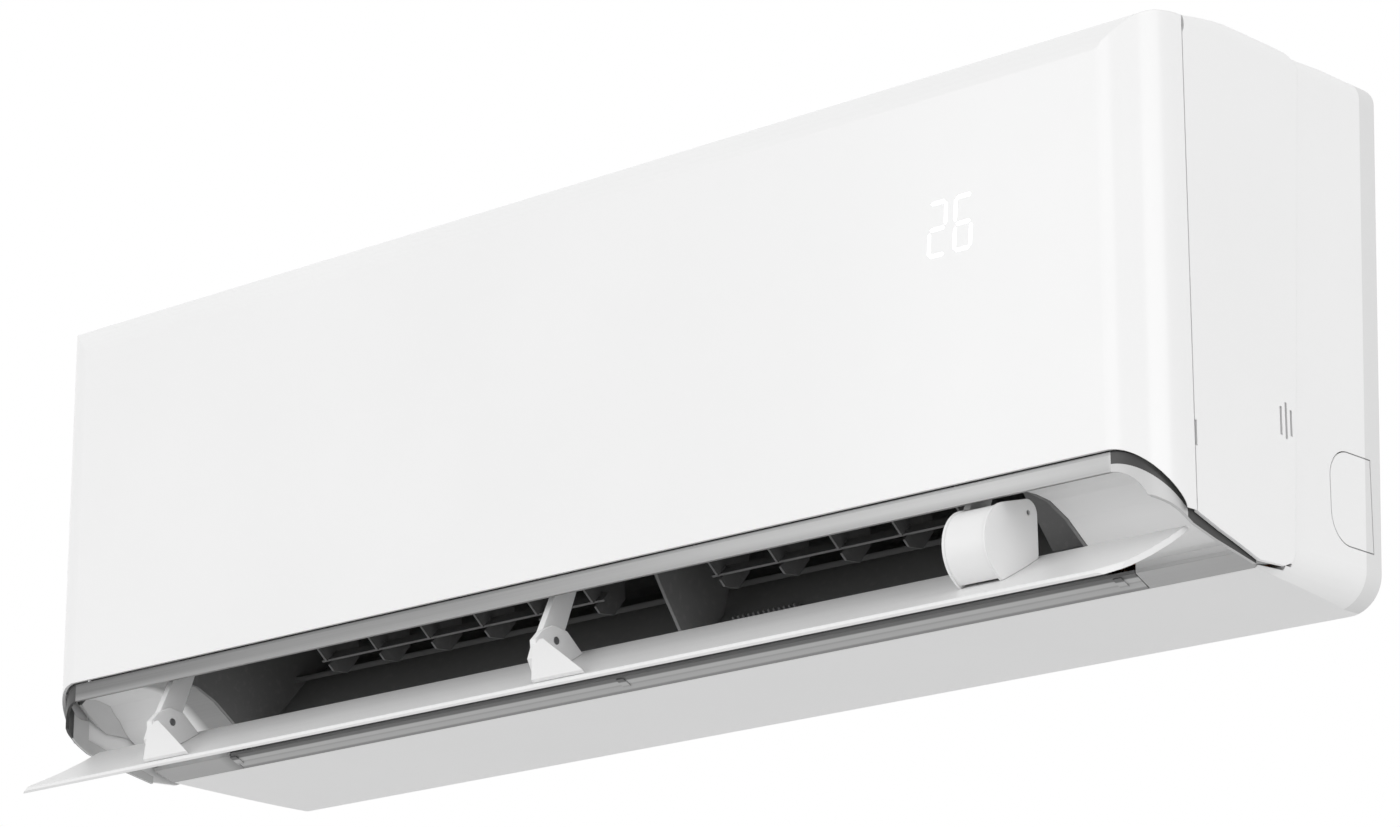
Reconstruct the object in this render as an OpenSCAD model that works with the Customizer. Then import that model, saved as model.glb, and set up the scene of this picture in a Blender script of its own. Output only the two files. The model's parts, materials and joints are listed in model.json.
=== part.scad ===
/* [Body] */
// Overall width of the casing
body_width = 943; // [925:1:960]
// Overall depth from the wall to the front face
body_depth = 245; // [242:1:250]
// Overall height from the underside to the top
body_height = 330; // [327:1:336]
// Radius of the front corners seen from above
corner_radius = 34; // [30:1:38]
// Radius of the lower side edges of the rear casing
lower_radius = 22; // [16:1:26]
// Wall thickness of the white casing parts
case_wall = 2.5; // [2:0.1:2.8]
// Step between the proud side wings and the rear casing
wing_step = 5; // [4:0.5:6]
// Gap along the seams between neighbouring covers
seam_gap = 0.8; // [0.6:0.1:1.2]

/* [Mouth and flap] */
// Height of the panel edge above the underside
mouth_top = 55.5; // [54:0.5:57]
// Radius of the upper corners of the mouth seen from the front
mouth_radius = 33; // [28:1:34]
// Half length of the outlet duct between its cheeks
duct_half = 362; // [350:1:365]
// Half length of the main flap
flap_half = 460; // [450:1:461]
// Gap around the closed flap
flap_gap = 2; // [1.5:0.1:2.5]
// Thickness of the flap
flap_thick = 4; // [3:0.2:4.5]
// Distance of the flap pivot from the rear edge of the flap
pivot_along = 27; // [24:1:30]
// Height of the flap pivot over the chord of the flap
pivot_over = 17.5; // [16.5:0.5:18.5]
// Angle by which the arms swing from closed to open
arm_swing = 83.5; // [80:0.5:85]
// Angle by which the flap turns from closed to open
flap_turn = 52; // [48:1:54]
// Diameter of the pivot pins of the flap
flap_pin_dia = 5; // [4:0.5:6]
// Diameter of the shaft that carries the arms
arm_shaft_dia = 6; // [5:0.5:7]
// Thickness of one arm
arm_thick = 5; // [4:0.5:6]
// Radius of the round end of an arm at the flap
arm_hub = 9; // [8:0.5:10]

/* [Vanes] */
// Number of vanes in the left group
left_vanes = 6; // [6]
// Number of vanes in the right group
right_vanes = 5; // [5]
// Spacing of the vanes along the duct
vane_pitch = 49; // [46:1:50]
// Thickness of one vane
vane_thick = 1.6; // [1.2:0.1:2]
// Diameter of the pivot of one vane
vane_pin_dia = 4; // [3.5:0.1:4.4]
// Section of the link bar that joins the vanes
link_size = 1.6; // [1.4:0.1:2.4]

/* [Fan] */
// Diameter of the cross flow fan
fan_dia = 98; // [90:1:100]
// Room between each end of the fan and its cheek
fan_end = 12; // [10:0.5:22]
// Number of blades around the fan
blade_count = 32; // [24:1:36]
// Number of rings that join the blades
ring_count = 9; // [6:1:10]
// Diameter of the fan shaft
shaft_dia = 10; // [8:0.5:11]
// Diameter of the fan motor
motor_dia = 86; // [80:1:88]

/* [Wall plate] */
// Height of the centre of the wall plate above the underside
mount_height = 190; // [185:1:195]
// Width of the wall plate
plate_width = 760; // [720:5:780]
// Height of the wall plate
plate_height = 220; // [200:5:230]
// Thickness of the wall plate
plate_thick = 1.5; // [1.2:0.1:1.8]
// Distance between the outer screw holes of the wall plate
screw_span = 640; // [600:5:680]
// Distance between the upper and lower row of screw holes
screw_rise = 150; // [130:5:160]
// Diameter of the screw holes of the wall plate
screw_hole_dia = 6.5; // [5:0.5:7]

/* [Refrigerant circuit] */
// Outer diameter of the gas pipe
gas_pipe_dia = 12.7; // [9.5:0.1:13]
// Outer diameter of the liquid pipe
liquid_pipe_dia = 6.35; // [6:0.05:7]
// Wall thickness of the copper pipes
pipe_wall = 0.8; // [0.6:0.1:1]
// Diameter of the coil tubes
coil_tube_dia = 7; // [6:0.5:8]
// Thickness of one slab of fins
slab_thick = 24; // [22:1:26]

/* [Hidden] */
$fn = 48;

// General values
overrun = 1;
seat_gap = 0.3;
bore_clear = 0.05;
half_width = body_width / 2;
rear_half = half_width - wing_step;

// A point of the side view from shares of the depth and the height
function side(p) = [-p[0] * body_depth, p[1] * body_height];
function sides(list) = [for (p = list) side(p)];
function turn(v, a) = [v[0] * cos(a) - v[1] * sin(a), v[0] * sin(a) + v[1] * cos(a)];
function unit(v) = v / norm(v);
function left_of(v) = [-v[1], v[0]];
function arc(c, r, a0, a1, n) = [for (i = [0:n]) c + r * [cos(a0 + (a1 - a0) * i / n),
    sin(a0 + (a1 - a0) * i / n)]];
function reversed(list) = [for (i = [len(list) - 1:-1:0]) list[i]];
// The line moved sideways, corner by corner
function line_normal(list, i) =
    unit(unit(left_of(list[min(i + 1, len(list) - 1)] - list[max(i - 1, 0)])));
function shifted(list, t) = [for (i = [0:len(list) - 1]) list[i] + t * line_normal(list, i)];
function band(list, t) = concat(list, reversed(shifted(list, t)));

// Everything is drawn from the underside and moved to the wall plate
module placed() translate([0, 0, -mount_height]) children();
module along_x(x0, x1) translate([x0, 0, 0]) rotate([90, 0, 90]) linear_extrude(x1 - x0) children();
module along_y(y0, y1) translate([0, y1, 0]) rotate([90, 0, 0]) linear_extrude(y1 - y0) children();
module rod_x(x0, x1, p, r) translate([x0, p[0], p[1]]) rotate([0, 90, 0]) cylinder(h = x1 - x0, r = r);
module block(a, b) translate(a) cube(b - a);
module both_ends() {
    children();
    mirror([1, 0, 0]) children();
}

// Side view of the front body with the wings: top line, front corner, underside and rear edge
front_seam_y = -0.843 * body_depth;
top_corner_radius = 22;
top_front_z = 0.95 * body_height;
top_corner = [-body_depth + top_corner_radius, top_front_z - top_corner_radius];
top_line_shares = [[0.833, 0.9545], [0.755, 0.9665], [0.69, 0.9755], [0.608, 0.9855], [0.525, 0.992],
    [0.467, 0.989], [0.4, 0.98], [0.37, 0.952]];
wing_foot_shares = [[0.457, 0.047], [0.47, 0.03], [0.502, 0.0197], [0.6, 0.0164], [0.678, 0.0333],
    [0.755, 0.0485], [0.843, 0.0682]];
wing_low_z = 0.0682 * body_height;
front_profile = concat(
    arc(top_corner, top_corner_radius, 180, 90, 8),
    sides(top_line_shares),
    sides(wing_foot_shares),
    [[-body_depth, wing_low_z]]);

// Side view of the rear casing with the slightly leaning back
back_top_gap = 2.4;
back_lean = 18;
rear_front_y = -0.45 * body_depth;
lip_point = side([0.547, 0.0164]);
lip_edge = 1.6;
back_radius = 7;
rear_top_shares = [[0.11, 0.9985], [0.33, 0.98], [0.45, 0.975]];
rear_profile = concat([[-back_lean, 0]], [lip_point, lip_point + [0, lip_edge]],
    [[rear_front_y, lip_point[1] + case_wall]],
    reversed(sides(rear_top_shares)),
    arc([-back_top_gap - back_radius, body_height - back_radius], back_radius, 90, 0, 4));

// Plan view with round front corners
module plan(inset) {
    r = corner_radius - inset;
    for (s = [-1, 1]) translate([s * (half_width - corner_radius), -body_depth + corner_radius]) circle(r);
    translate([-half_width + inset, -body_depth + corner_radius])
        square([body_width - 2 * inset, body_depth - corner_radius]);
    translate([-half_width + corner_radius, -body_depth + inset])
        square([body_width - 2 * corner_radius, corner_radius]);
}
upper_radius = 14;
module front_outline(inset) {
    r = upper_radius - inset;
    top = side([0, 0.992])[1];
    for (s = [-1, 1]) translate([s * (half_width - upper_radius), top - upper_radius]) circle(r);
    translate([-half_width + inset, -overrun]) square([2 * (half_width - inset), top - upper_radius + overrun]);
    translate([-half_width + upper_radius, 0]) square([2 * (half_width - upper_radius), top - inset]);
}
module front_solid(inset) intersection() {
    along_x(-half_width, half_width) offset(delta = -inset) polygon(front_profile);
    along_y(-body_depth - overrun, overrun) front_outline(inset);
    translate([0, 0, -overrun]) linear_extrude(body_height + 2 * overrun) plan(inset);
}

// Arch of the mouth seen from the front
module arch(grow) {
    r = mouth_radius + grow;
    cz = mouth_top - mouth_radius;
    cx = half_width - mouth_radius;
    for (s = [-1, 1]) translate([s * cx, cz]) circle(r);
    translate([-cx, -body_height]) square([2 * cx, body_height + cz + r]);
    translate([-cx - r, -body_height]) square([2 * (cx + r), body_height + cz]);
}

// Mouth line from the sill to the trim, and the closed flap on it
sill_edge = side([0.604, 0.0358]);
trim_edge = side([0.9245, 0.144]);
mouth_dir = unit(trim_edge - sill_edge);
mouth_up = [mouth_dir[1], -mouth_dir[0]];
flap_chord = norm(trim_edge - sill_edge) - 2 * flap_gap;
closed_rear = sill_edge + flap_gap * mouth_dir;
closed_pivot = closed_rear + pivot_along * mouth_dir + pivot_over * mouth_up;

// Linkage of the flap: the arms swing about the shaft, the flap turns at their ends
shaft_axis = side([0.8637, 0.1955]);
flap_pivot = shaft_axis + turn(closed_pivot - shaft_axis, -arm_swing);
flap_dir = turn(mouth_dir, flap_turn);
flap_up = [flap_dir[1], -flap_dir[0]];
flap_rear = flap_pivot - pivot_along * flap_dir - pivot_over * flap_up;
flap_tilt = atan2(-flap_dir[1], -flap_dir[0]);
arm_dir = unit(shaft_axis - flap_pivot);
echo(shaft_axis = shaft_axis - [0, mount_height], flap_pivot = flap_pivot - [0, mount_height],
    flap_tilt = flap_tilt, arm_length = norm(shaft_axis - flap_pivot), flap_chord = flap_chord,
    turn_ratio = -(flap_turn + arm_swing) / arm_swing);

// Outlet duct: ceiling above the flap and floor behind the fan
duct_wall = 2.4;
fan_axis = side([0.457, 0.485]);
fan_radius = fan_dia / 2;
ceiling_shares = [[0.926, 0.155], [0.837, 0.182], [0.747, 0.236], [0.686, 0.315], [0.655, 0.388]];
ceiling_line = sides(ceiling_shares);
volute_gap = 7;
volute_start = fan_radius + volute_gap;
volute_growth = 33;
volute_top_angle = 60;
volute_end_angle = -81;
volute_steps = 16;
function volute_radius(a) = volute_start
    + volute_growth * pow((volute_top_angle - a) / (volute_top_angle - volute_end_angle), 1.5);
function volute_at(a, out) = fan_axis + (volute_radius(a) + out) * [cos(a), sin(a)];
volute_line = [for (i = [0:volute_steps])
    volute_at(volute_end_angle + (volute_top_angle - volute_end_angle) * i / volute_steps, 0)];
floor_rise = 4.2;
floor_start = sill_edge + [0, floor_rise];
floor_line = concat([floor_start, side([0.49, 0.142])], volute_line);
arm_side = 1;
arm_out = duct_half - arm_side;
arm_gap = 0.4;
tilt_depth = 31;
drum_x1 = arm_out;
drum_x0 = drum_x1 - tilt_depth;
arm_centers = [-arm_out + arm_thick / 2, -arm_thick / 2 - arm_gap / 2, drum_x0 - arm_gap - arm_thick / 2];
bearing_radius = 14;
slot_back_share = 0.79;
slot_side = 1;

// Recess surface at the ends of the mouth
land_shares = [[0.931, 0.149], [0.866, 0.1505], [0.8145, 0.1465], [0.747, 0.1245], [0.6776, 0.088],
    [0.6204, 0.06]];
land_line = sides(land_shares);
land_wall = 2;
cheek_front = sides([land_shares[2], land_shares[3], land_shares[4], land_shares[5]]);

// Steel plate on the wall with hooks for the unit and holes for its screws
hook_places_shares = [-0.72, -0.24, 0.24, 0.72];
hook_width = 30;
hook_reach = 8.4;
hook_rise = 9;
clip_width = 24;
clip_places_shares = [-0.6, 0.6];
function back_y(z) = -back_lean + (back_lean - back_top_gap) * z / body_height;
module mounting_plate() color("silver") placed() translate([0, 0, mount_height]) {
    difference() {
        block([-plate_width / 2, -plate_thick, -plate_height / 2], [plate_width / 2, 0, plate_height / 2]);
        for (sx = [-1, 1], sz = [-1, 1])
            translate([sx * screw_span / 2, overrun, sz * screw_rise / 2])
                rotate([90, 0, 0]) cylinder(h = plate_thick + 2 * overrun, d = screw_hole_dia);
        for (sx = [-1, 1])
            block([sx * plate_width / 4 - plate_width / 14, -plate_thick - overrun, -plate_height / 6],
                [sx * plate_width / 4 + plate_width / 14, overrun, plate_height / 6]);
    }
    for (s = hook_places_shares) translate([s * plate_width / 2 - hook_width / 2, 0, plate_height / 2]) {
        block([0, -hook_reach, -plate_thick], [hook_width, 0, 0]);
        block([0, -hook_reach, -plate_thick], [hook_width, -hook_reach + plate_thick, hook_rise]);
    }
    for (s = clip_places_shares) translate([s * plate_width / 2 - clip_width / 2, 0, -plate_height / 2])
        block([0, back_y(mount_height - plate_height / 2) + seat_gap, 0], [clip_width, 0, plate_thick]);
}

// Rear casing: back wall, sides and underside in one moulding
knockout_shares = [[0.1, 0.1], [0.27, 0.27]];
knock_radius = 18;
knock_gap = 0.7;
knock_low = side(knockout_shares[0]);
knock_high = side(knockout_shares[1]);
module knock_outline(grow) {
    for (z = [knock_low[1] + knock_radius, knock_high[1] - knock_radius])
        translate([knock_high[0] + knock_radius, z]) circle(knock_radius + grow);
    translate([knock_high[0] + knock_radius, knock_low[1] - grow])
        square([knock_low[0] - knock_high[0] - knock_radius + grow, knock_high[1] - knock_low[1] + 2 * grow]);
    translate([knock_high[0] - grow, knock_low[1] + knock_radius])
        square([knock_low[0] - knock_high[0], knock_high[1] - knock_low[1] - 2 * knock_radius]);
}
module rear_outline(inset) {
    r = lower_radius - inset;
    for (s = [-1, 1]) translate([s * (rear_half - lower_radius), lower_radius]) circle(r);
    for (s = [-1, 1]) translate([s * (rear_half - upper_radius), body_height - upper_radius])
        circle(upper_radius - inset);
    translate([-rear_half + inset, lower_radius])
        square([2 * (rear_half - inset), body_height - lower_radius - upper_radius]);
    translate([-rear_half + lower_radius, inset])
        square([2 * (rear_half - lower_radius), body_height - 2 * inset]);
}
module rear_shape(inset) intersection() {
    along_x(-rear_half, rear_half) offset(delta = -inset) polygon(rear_profile);
    along_y(-body_depth, overrun) rear_outline(inset);
}
grille_half = 0.9 * half_width;
grille_front_y = -0.8 * body_depth;
grille_back_y = -0.1 * body_depth;
inlet_low_z = 0.9 * body_height;
back_slot_z = mount_height + plate_height / 2;
module rear_case() color("white") placed() difference() {
    rear_shape(0);
    rear_shape(case_wall);
    // open front above the underside
    block([-rear_half + case_wall, rear_front_y - overrun, lip_point[1] + 2 * case_wall],
        [rear_half - case_wall, rear_front_y + 2 * case_wall, body_height + overrun]);
    // open top for the inlet grille
    block([-grille_half, rear_front_y - overrun, inlet_low_z],
        [grille_half, grille_back_y, body_height + overrun]);
    // slots for the hooks of the wall plate
    for (s = hook_places_shares)
        block([s * plate_width / 2 - hook_width / 2 - seam_gap, -back_lean, back_slot_z - plate_thick - hook_rise],
            [s * plate_width / 2 + hook_width / 2 + seam_gap, overrun, back_slot_z + seat_gap]);
    for (s = [-1, 1]) scale([s, 1, 1])
        along_x(rear_half - 2 * case_wall, rear_half + overrun) knock_outline(knock_gap);
}
module knockout_covers() color("white") placed()
    for (s = [-1, 1]) scale([s, 1, 1]) along_x(rear_half - case_wall, rear_half) knock_outline(0);

// Hinge of the front panel, close under its top line
hinge_back = 6;
hinge_down = 3.5;
hinge_axis = [front_seam_y - hinge_back, top_front_z - hinge_down];
hinge_pin_radius = 1.2;
hinge_eye_radius = 2.9;
hinge_places_shares = [-0.62, 0.62];
eye_half = 6;
lug_width = 4;
lug_gap = 0.4;
relief_radius = 8.5;
panel_wall = 2.2;
inner_edge_z = top_front_z - 0.02 * body_height;

// White front body with the wings, the top frame and the frame behind the panel
frame_front = -body_depth + 7;
frame_thick = 2.5;
frame_half = half_width - 24;
window_half = 0.82 * half_width;
window_low = 0.31 * body_height;
window_high = 0.86 * body_height;
frame_low = 0.19 * body_height;
frame_high = 0.915 * body_height;
return_back = 10;
vent_places_shares = [[0.496, 0.254, 0.305], [0.475, 0.249, 0.315], [0.455, 0.257, 0.304]];
vent_width = 2;
notch_low = 0.182 * body_height;
notch_high = 0.227 * body_height;
notch_depth = 2.4;
button_place = [0.89 * half_width, 0.45 * body_height];
button_radius = 4;
button_travel = 1.5;
screw_places_shares = [-0.425, 0.425];
screw_z = 0.215 * body_height;
screw_radius = 1.5;
lug_low = 5;
lug_reach = 10;
module hinge_lug(x) along_x(x, x + lug_width) {
    translate(hinge_axis) circle(hinge_eye_radius);
    polygon([hinge_axis + [0, -hinge_eye_radius], hinge_axis + [0, hinge_eye_radius],
        [front_seam_y + seam_gap + case_wall, top_front_z - hinge_back / 10],
        [front_seam_y + lug_reach, top_front_z], [front_seam_y + lug_reach, top_front_z - lug_low]]);
}
module front_case() color("white") placed() {
    difference() {
        front_solid(0);
        front_solid(case_wall);
        // room for the front panel
        block([-half_width - overrun, -body_depth - overrun, -overrun],
            [half_width + overrun, front_seam_y + seam_gap, body_height + overrun]);
        // room for the rear casing
        along_x(-rear_half - seat_gap, rear_half + seat_gap) offset(delta = seat_gap) polygon(rear_profile);
        // open underside
        block([-half_width + case_wall, -body_depth, -overrun],
            [half_width - case_wall, 0, 0.2 * body_height]);
        // inlet
        block([-grille_half, grille_front_y, 0.8 * body_height], [grille_half, 0, body_height + overrun]);
        // relief for the turning edge of the panel
        rod_x(-half_width - overrun, half_width + overrun, hinge_axis, relief_radius);
        for (v = vent_places_shares)
            block([half_width - 2 * case_wall, -v[0] * body_depth - vent_width / 2, v[1] * body_height],
                [half_width + overrun, -v[0] * body_depth + vent_width / 2, v[2] * body_height]);
        for (s = [-1, 1]) scale([s, 1, 1])
            block([half_width - 2 * case_wall, front_seam_y, notch_low],
                [half_width + overrun, front_seam_y + notch_depth, notch_high]);
    }
    // frame behind the panel, joined to the wings by side returns
    difference() {
        block([-frame_half, frame_front, frame_low], [frame_half, frame_front + frame_thick, frame_high]);
        block([-window_half, frame_front - overrun, window_low],
            [window_half, frame_front + frame_thick + overrun, window_high]);
        for (s = screw_places_shares) translate([s * half_width, 0, screw_z])
            along_y(frame_front - overrun, frame_front + frame_thick + overrun) circle(screw_radius + bore_clear);
        translate([button_place[0], 0, button_place[1]])
            along_y(frame_front - overrun, frame_front + frame_thick + overrun) circle(button_radius + seat_gap);
    }
    both_ends() {
        block([frame_half - frame_thick, frame_front, frame_low],
            [frame_half, front_seam_y + return_back, frame_high]);
        block([frame_half - frame_thick, front_seam_y + return_back - frame_thick, frame_low + 2 * frame_thick],
            [half_width - case_wall / 2, front_seam_y + return_back, frame_high - frame_thick]);
    }
    // lugs and pins of the panel hinge
    for (s = hinge_places_shares) {
        hinge_lug(s * half_width - eye_half - lug_gap - lug_width);
        hinge_lug(s * half_width + eye_half + lug_gap);
        rod_x(s * half_width - eye_half - lug_width, s * half_width + eye_half + lug_width,
            hinge_axis, hinge_pin_radius);
    }
}
screw_head = 3.2;
screw_head_height = 2;
screw_length = 10;
module case_screws() color("dimgray") placed()
    for (s = screw_places_shares) translate([s * half_width, 0, screw_z]) {
        along_y(frame_front - screw_head_height, frame_front) circle(screw_head);
        along_y(frame_front - screw_head_height, frame_front + screw_length) circle(screw_radius);
    }

// Front panel with round ends that reach back to the seam
eye_neck = 1.2;
arch_inset = 0.3;
module front_panel() color("whitesmoke") placed() {
    difference() {
        front_solid(0);
        front_solid(panel_wall);
        block([-half_width - overrun, front_seam_y, -overrun],
            [half_width + overrun, overrun, body_height + overrun]);
        along_y(-body_depth - overrun, overrun) arch(-arch_inset);
        // room for the lugs
        for (s = hinge_places_shares, t = [-1, 1])
            block([s * half_width + t * (eye_half + lug_gap + lug_width / 2) - lug_width / 2 - lug_gap,
                hinge_axis[0] - hinge_eye_radius - 2 * lug_gap, hinge_axis[1] - 2 * hinge_back],
                [s * half_width + t * (eye_half + lug_gap + lug_width / 2) + lug_width / 2 + lug_gap,
                overrun, body_height]);
    }
    // hinge eyes
    for (s = hinge_places_shares) difference() {
        along_x(s * half_width - eye_half, s * half_width + eye_half) {
            translate(hinge_axis) circle(hinge_eye_radius);
            polygon([hinge_axis + [-hinge_eye_radius, 0], hinge_axis + [hinge_eye_radius, 0],
                hinge_axis + [hinge_eye_radius, hinge_down - eye_neck / 4],
                hinge_axis + [-hinge_eye_radius, hinge_down - eye_neck / 4]]);
        }
        rod_x(s * half_width - 2 * eye_half, s * half_width + 2 * eye_half, hinge_axis,
            hinge_pin_radius + bore_clear);
    }
}

// Display board behind the panel, with the light boxes of two digits
display_low = [0.66 * half_width, 0.57 * body_height];
display_high = [0.745 * half_width, 0.70 * body_height];
display_depth = 3.6;
board_thick = 1.2;
module display_unit() color("darkslategray") placed() {
    y0 = -body_depth + panel_wall;
    block([display_low[0], y0 + display_depth - board_thick, display_low[1]],
        [display_high[0], y0 + display_depth, display_high[1]]);
    w = (display_high[0] - display_low[0]) / 2;
    for (i = [0, 1]) block([display_low[0] + (i + 0.1) * w, y0, display_low[1] + w / 5],
        [display_low[0] + (i + 0.9) * w, y0 + display_depth, display_high[1] - w / 5]);
}
button_flange = 1.4;
button_flange_thick = 1.2;
button_length = 7;
module aux_button() color("gainsboro") placed()
    translate([button_place[0], 0, button_place[1]]) {
        along_y(frame_front - button_travel, frame_front + button_length) circle(button_radius);
        along_y(frame_front + frame_thick + seat_gap, frame_front + frame_thick + seat_gap + button_flange_thick)
            circle(button_radius + button_flange);
    }

// Inlet grille on the top
grille_shares = [[0.8, 0.9585], [0.755, 0.965], [0.69, 0.974], [0.608, 0.984], [0.525, 0.9905],
    [0.467, 0.9875], [0.4, 0.977], [0.33, 0.978], [0.1, 0.9965]];
grille_line = sides(grille_shares);
grille_depth = 5;
slat_thick = 1.6;
slat_count = 15;
rib_count = 14;
rib_depth_shares = [0.16, 0.8];
function grille_z(y) = lookup(y, grille_line);
module top_grille() color("white") placed() {
    g = grille_half - seat_gap;
    y0 = grille_front_y + seat_gap;
    y1 = grille_back_y - seat_gap;
    for (i = [0:slat_count - 1]) {
        y = y0 + (y1 - y0 - slat_thick) * i / (slat_count - 1);
        block([-g, y, grille_z(y) - grille_depth], [g, y + slat_thick, grille_z(y)]);
    }
    intersection() {
        block([-g, y0, 0], [g, y1, 2 * body_height]);
        for (i = [0:rib_count - 1]) {
            x = -g + (2 * g - slat_thick) * i / (rib_count - 1);
            along_x(x, x + slat_thick) polygon(concat(
                [for (p = grille_line) p - [0, rib_depth_shares[0] * grille_depth]],
                [for (p = reversed(grille_line)) p - [0, rib_depth_shares[1] * grille_depth]]));
        }
    }
}

// Air filters: bent frames with a fine sheet between the ribs
filter_shares = [[0.9584, 0.358], [0.9584, 0.812], [0.922, 0.879], [0.841, 0.915], [0.735, 0.932],
    [0.49, 0.944]];
filter_line = sides(filter_shares);
filter_thick = 1.8;
filter_sheet = 0.6;
filter_half = 0.823 * half_width;
filter_gap = 4;
filter_ribs = 6;
filter_rows = 9;
filter_rib_width = 4;
module filter_mat(x0, x1) {
    along_x(x0, x1) polygon(band(filter_line, -filter_sheet));
    for (i = [0:filter_ribs - 1]) {
        x = x0 + (x1 - x0 - filter_rib_width) * i / (filter_ribs - 1);
        along_x(x, x + filter_rib_width) polygon(band(filter_line, -filter_thick));
    }
    for (p = [[0, 1], [2, 3]]) {
        a = filter_line[p[0]];
        b = filter_line[p[1]];
        d = unit(b - a);
        n = -filter_thick * left_of(d);
        for (t = [0, 0.25, 0.5, 0.75]) {
            q = a + t * (b - a);
            along_x(x0, x1) polygon([q, q + filter_rib_width * d, q + filter_rib_width * d + n, q + n]);
        }
    }
}
module filter_left() color("lightsteelblue") placed() filter_mat(-filter_half, -filter_gap / 2);
module filter_right() color("lightsteelblue") placed() filter_mat(filter_gap / 2, filter_half);

// Trim round the mouth: front strip that turns into the side strips, and the recess wall
trim_inset = 3;
trim_thick = 2.2;
trim_drop = 12.5;
trim_gap = 0.8;
ring_gap = 1.2;
ring_thick = 2;
tip_y = -0.6 * body_depth;
shelf_back_y = -0.931 * body_depth;
trim_side_shares = [[1.01, 0.09], [0.947, 0.085], [0.906, 0.073], [0.841, 0.0485], [0.755, 0.033],
    [0.678, 0.0225], [0.6, 0.0115], [0.6, 0.026], [0.678, 0.043], [0.755, 0.058], [0.843, 0.077],
    [0.843, 0.2], [1.01, 0.2]];
function mouth_z(y) = sill_edge[1] + (y - sill_edge[0]) * mouth_dir[1] / mouth_dir[0];
trim_flange = 2;
module mouth_trim() color("lightgray") placed() {
    intersection() {
        linear_extrude(body_height) difference() {
            plan(trim_inset);
            plan(trim_inset + trim_thick);
            translate([-body_width, tip_y]) square([2 * body_width, body_depth]);
        }
        along_y(-body_depth, 0) difference() {
            arch(-trim_gap);
            arch(-trim_drop);
        }
        along_x(-half_width, half_width) polygon(sides(trim_side_shares));
    }
    // recess wall along the round ends, and shelf behind the strip
    intersection() {
        along_y(-body_depth + trim_inset + trim_thick / 2, tip_y) difference() {
            arch(-ring_gap);
            arch(-ring_gap - ring_thick);
        }
        along_x(-half_width, half_width) polygon([[-body_depth, mouth_z(-body_depth) + overrun],
            [-body_depth, mount_height], [tip_y, mount_height], [tip_y, mouth_z(tip_y) + overrun]]);
        difference() {
            block([-half_width, -body_depth, 0], [half_width, 0, body_height]);
            block([-duct_half - 2 * duct_wall, shelf_back_y, 0],
                [duct_half + 2 * duct_wall, 0, body_height]);
            both_ends() block([half_width - trim_inset - 0.8 * trim_thick, front_seam_y - overrun, 0],
                [half_width + overrun, 0, body_height]);
        }
    }
    // sloping flange behind the lower edge of the strip
    along_x(-half_width + mouth_radius, half_width - mouth_radius) polygon([
        [-body_depth + trim_inset + trim_thick / 2, mouth_top - trim_drop],
        trim_edge + [-trim_flange, 0], trim_edge + [-trim_flange, trim_flange],
        [-body_depth + trim_inset + trim_thick / 2, mouth_top - trim_drop + trim_flange]]);
}

// Recess surfaces between the duct and the round ends of the mouth
land_gap = 0.4;
land_clip = ring_gap + ring_thick + seat_gap;
land_end = half_width - trim_inset - trim_thick - land_gap;
module land_outline() {
    r = mouth_radius - land_clip;
    cx = half_width - mouth_radius;
    translate([cx, mouth_top - mouth_radius]) circle(r);
    translate([duct_half + duct_wall + land_gap, 0])
        square([cx - duct_half - duct_wall - land_gap, mouth_top - mouth_radius + r]);
    translate([cx, 0]) square([r, mouth_top - mouth_radius]);
}
sill_half = 385;
sill_tail = 12;
sill_rise = 2.2;
sill_profile = [lip_point + [-seat_gap, 0], sill_edge + [-seat_gap, 0], sill_edge + [-seat_gap, sill_rise],
    lip_point + [0, lip_edge + seat_gap + sill_rise], lip_point + [sill_tail, lip_edge + case_wall + sill_rise],
    lip_point + [sill_tail, lip_edge + case_wall], lip_point + [-seat_gap, lip_edge + seat_gap]];
module end_land_right() color("silver") placed() {
    intersection() {
        along_x(duct_half + duct_wall + land_gap, land_end) polygon(band(land_line, land_wall));
        along_y(-body_depth, 0) land_outline();
    }
    along_x(sill_half + seam_gap, land_end - lower_radius / 4) polygon(concat(
        [land_line[5], land_line[5] + [0, land_wall]],
        [sill_edge + [land_wall - seat_gap, 4 * sill_rise], sill_edge + [land_wall - seat_gap, sill_rise / 2],
            sill_edge + [-seat_gap / 2, sill_rise / 2], sill_edge + [-seat_gap / 2, 2.8 * sill_rise]]));
    intersection() {
        along_x(sill_half + seam_gap, land_end) polygon(sill_profile);
        along_y(-body_depth, overrun) rear_outline(seat_gap);
    }
}
module end_land_left() mirror([1, 0, 0]) end_land_right();

// Dark air duct with cheeks, volute, gutter, shaft clips, posts and vane bosses
gutter_shares = [[0.335, 0.6312], [0.3, 0.634], [0.19, 0.639], [0.172, 0.69]];
clip_span_shares = [-0.64, -0.21, 0.21, 0.64];
clip_half = 5;
tray_z = 0.34 * body_height;
tray_rib_shares = [-0.515, -0.0975, 0.0636, 0.54];
tray_rib = 3;
post_half = 5;
cheek_circle = 12;
cradle_end = 66;
cradle_half = 47;
cradle_drop = 20;
motor_near = 10;
motor_radius = motor_dia / 2;
vane_place_share = 0.6;
vane_axis_at = ceiling_line[2] + vane_place_share * (ceiling_line[3] - ceiling_line[2]);
vane_lean = atan2(ceiling_line[3][1] - ceiling_line[1][1], ceiling_line[3][0] - ceiling_line[1][0]);
left_first = -267;
right_first = 84;
vane_left_x = [for (i = [0:left_vanes - 1]) left_first + i * vane_pitch];
vane_right_x = [for (i = [0:right_vanes - 1]) right_first + i * vane_pitch];
vane_x = concat(vane_left_x, vane_right_x);
vane_pin_radius = vane_pin_dia / 2;
boss_radius = 4.2;
boss_low = 1;
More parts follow.
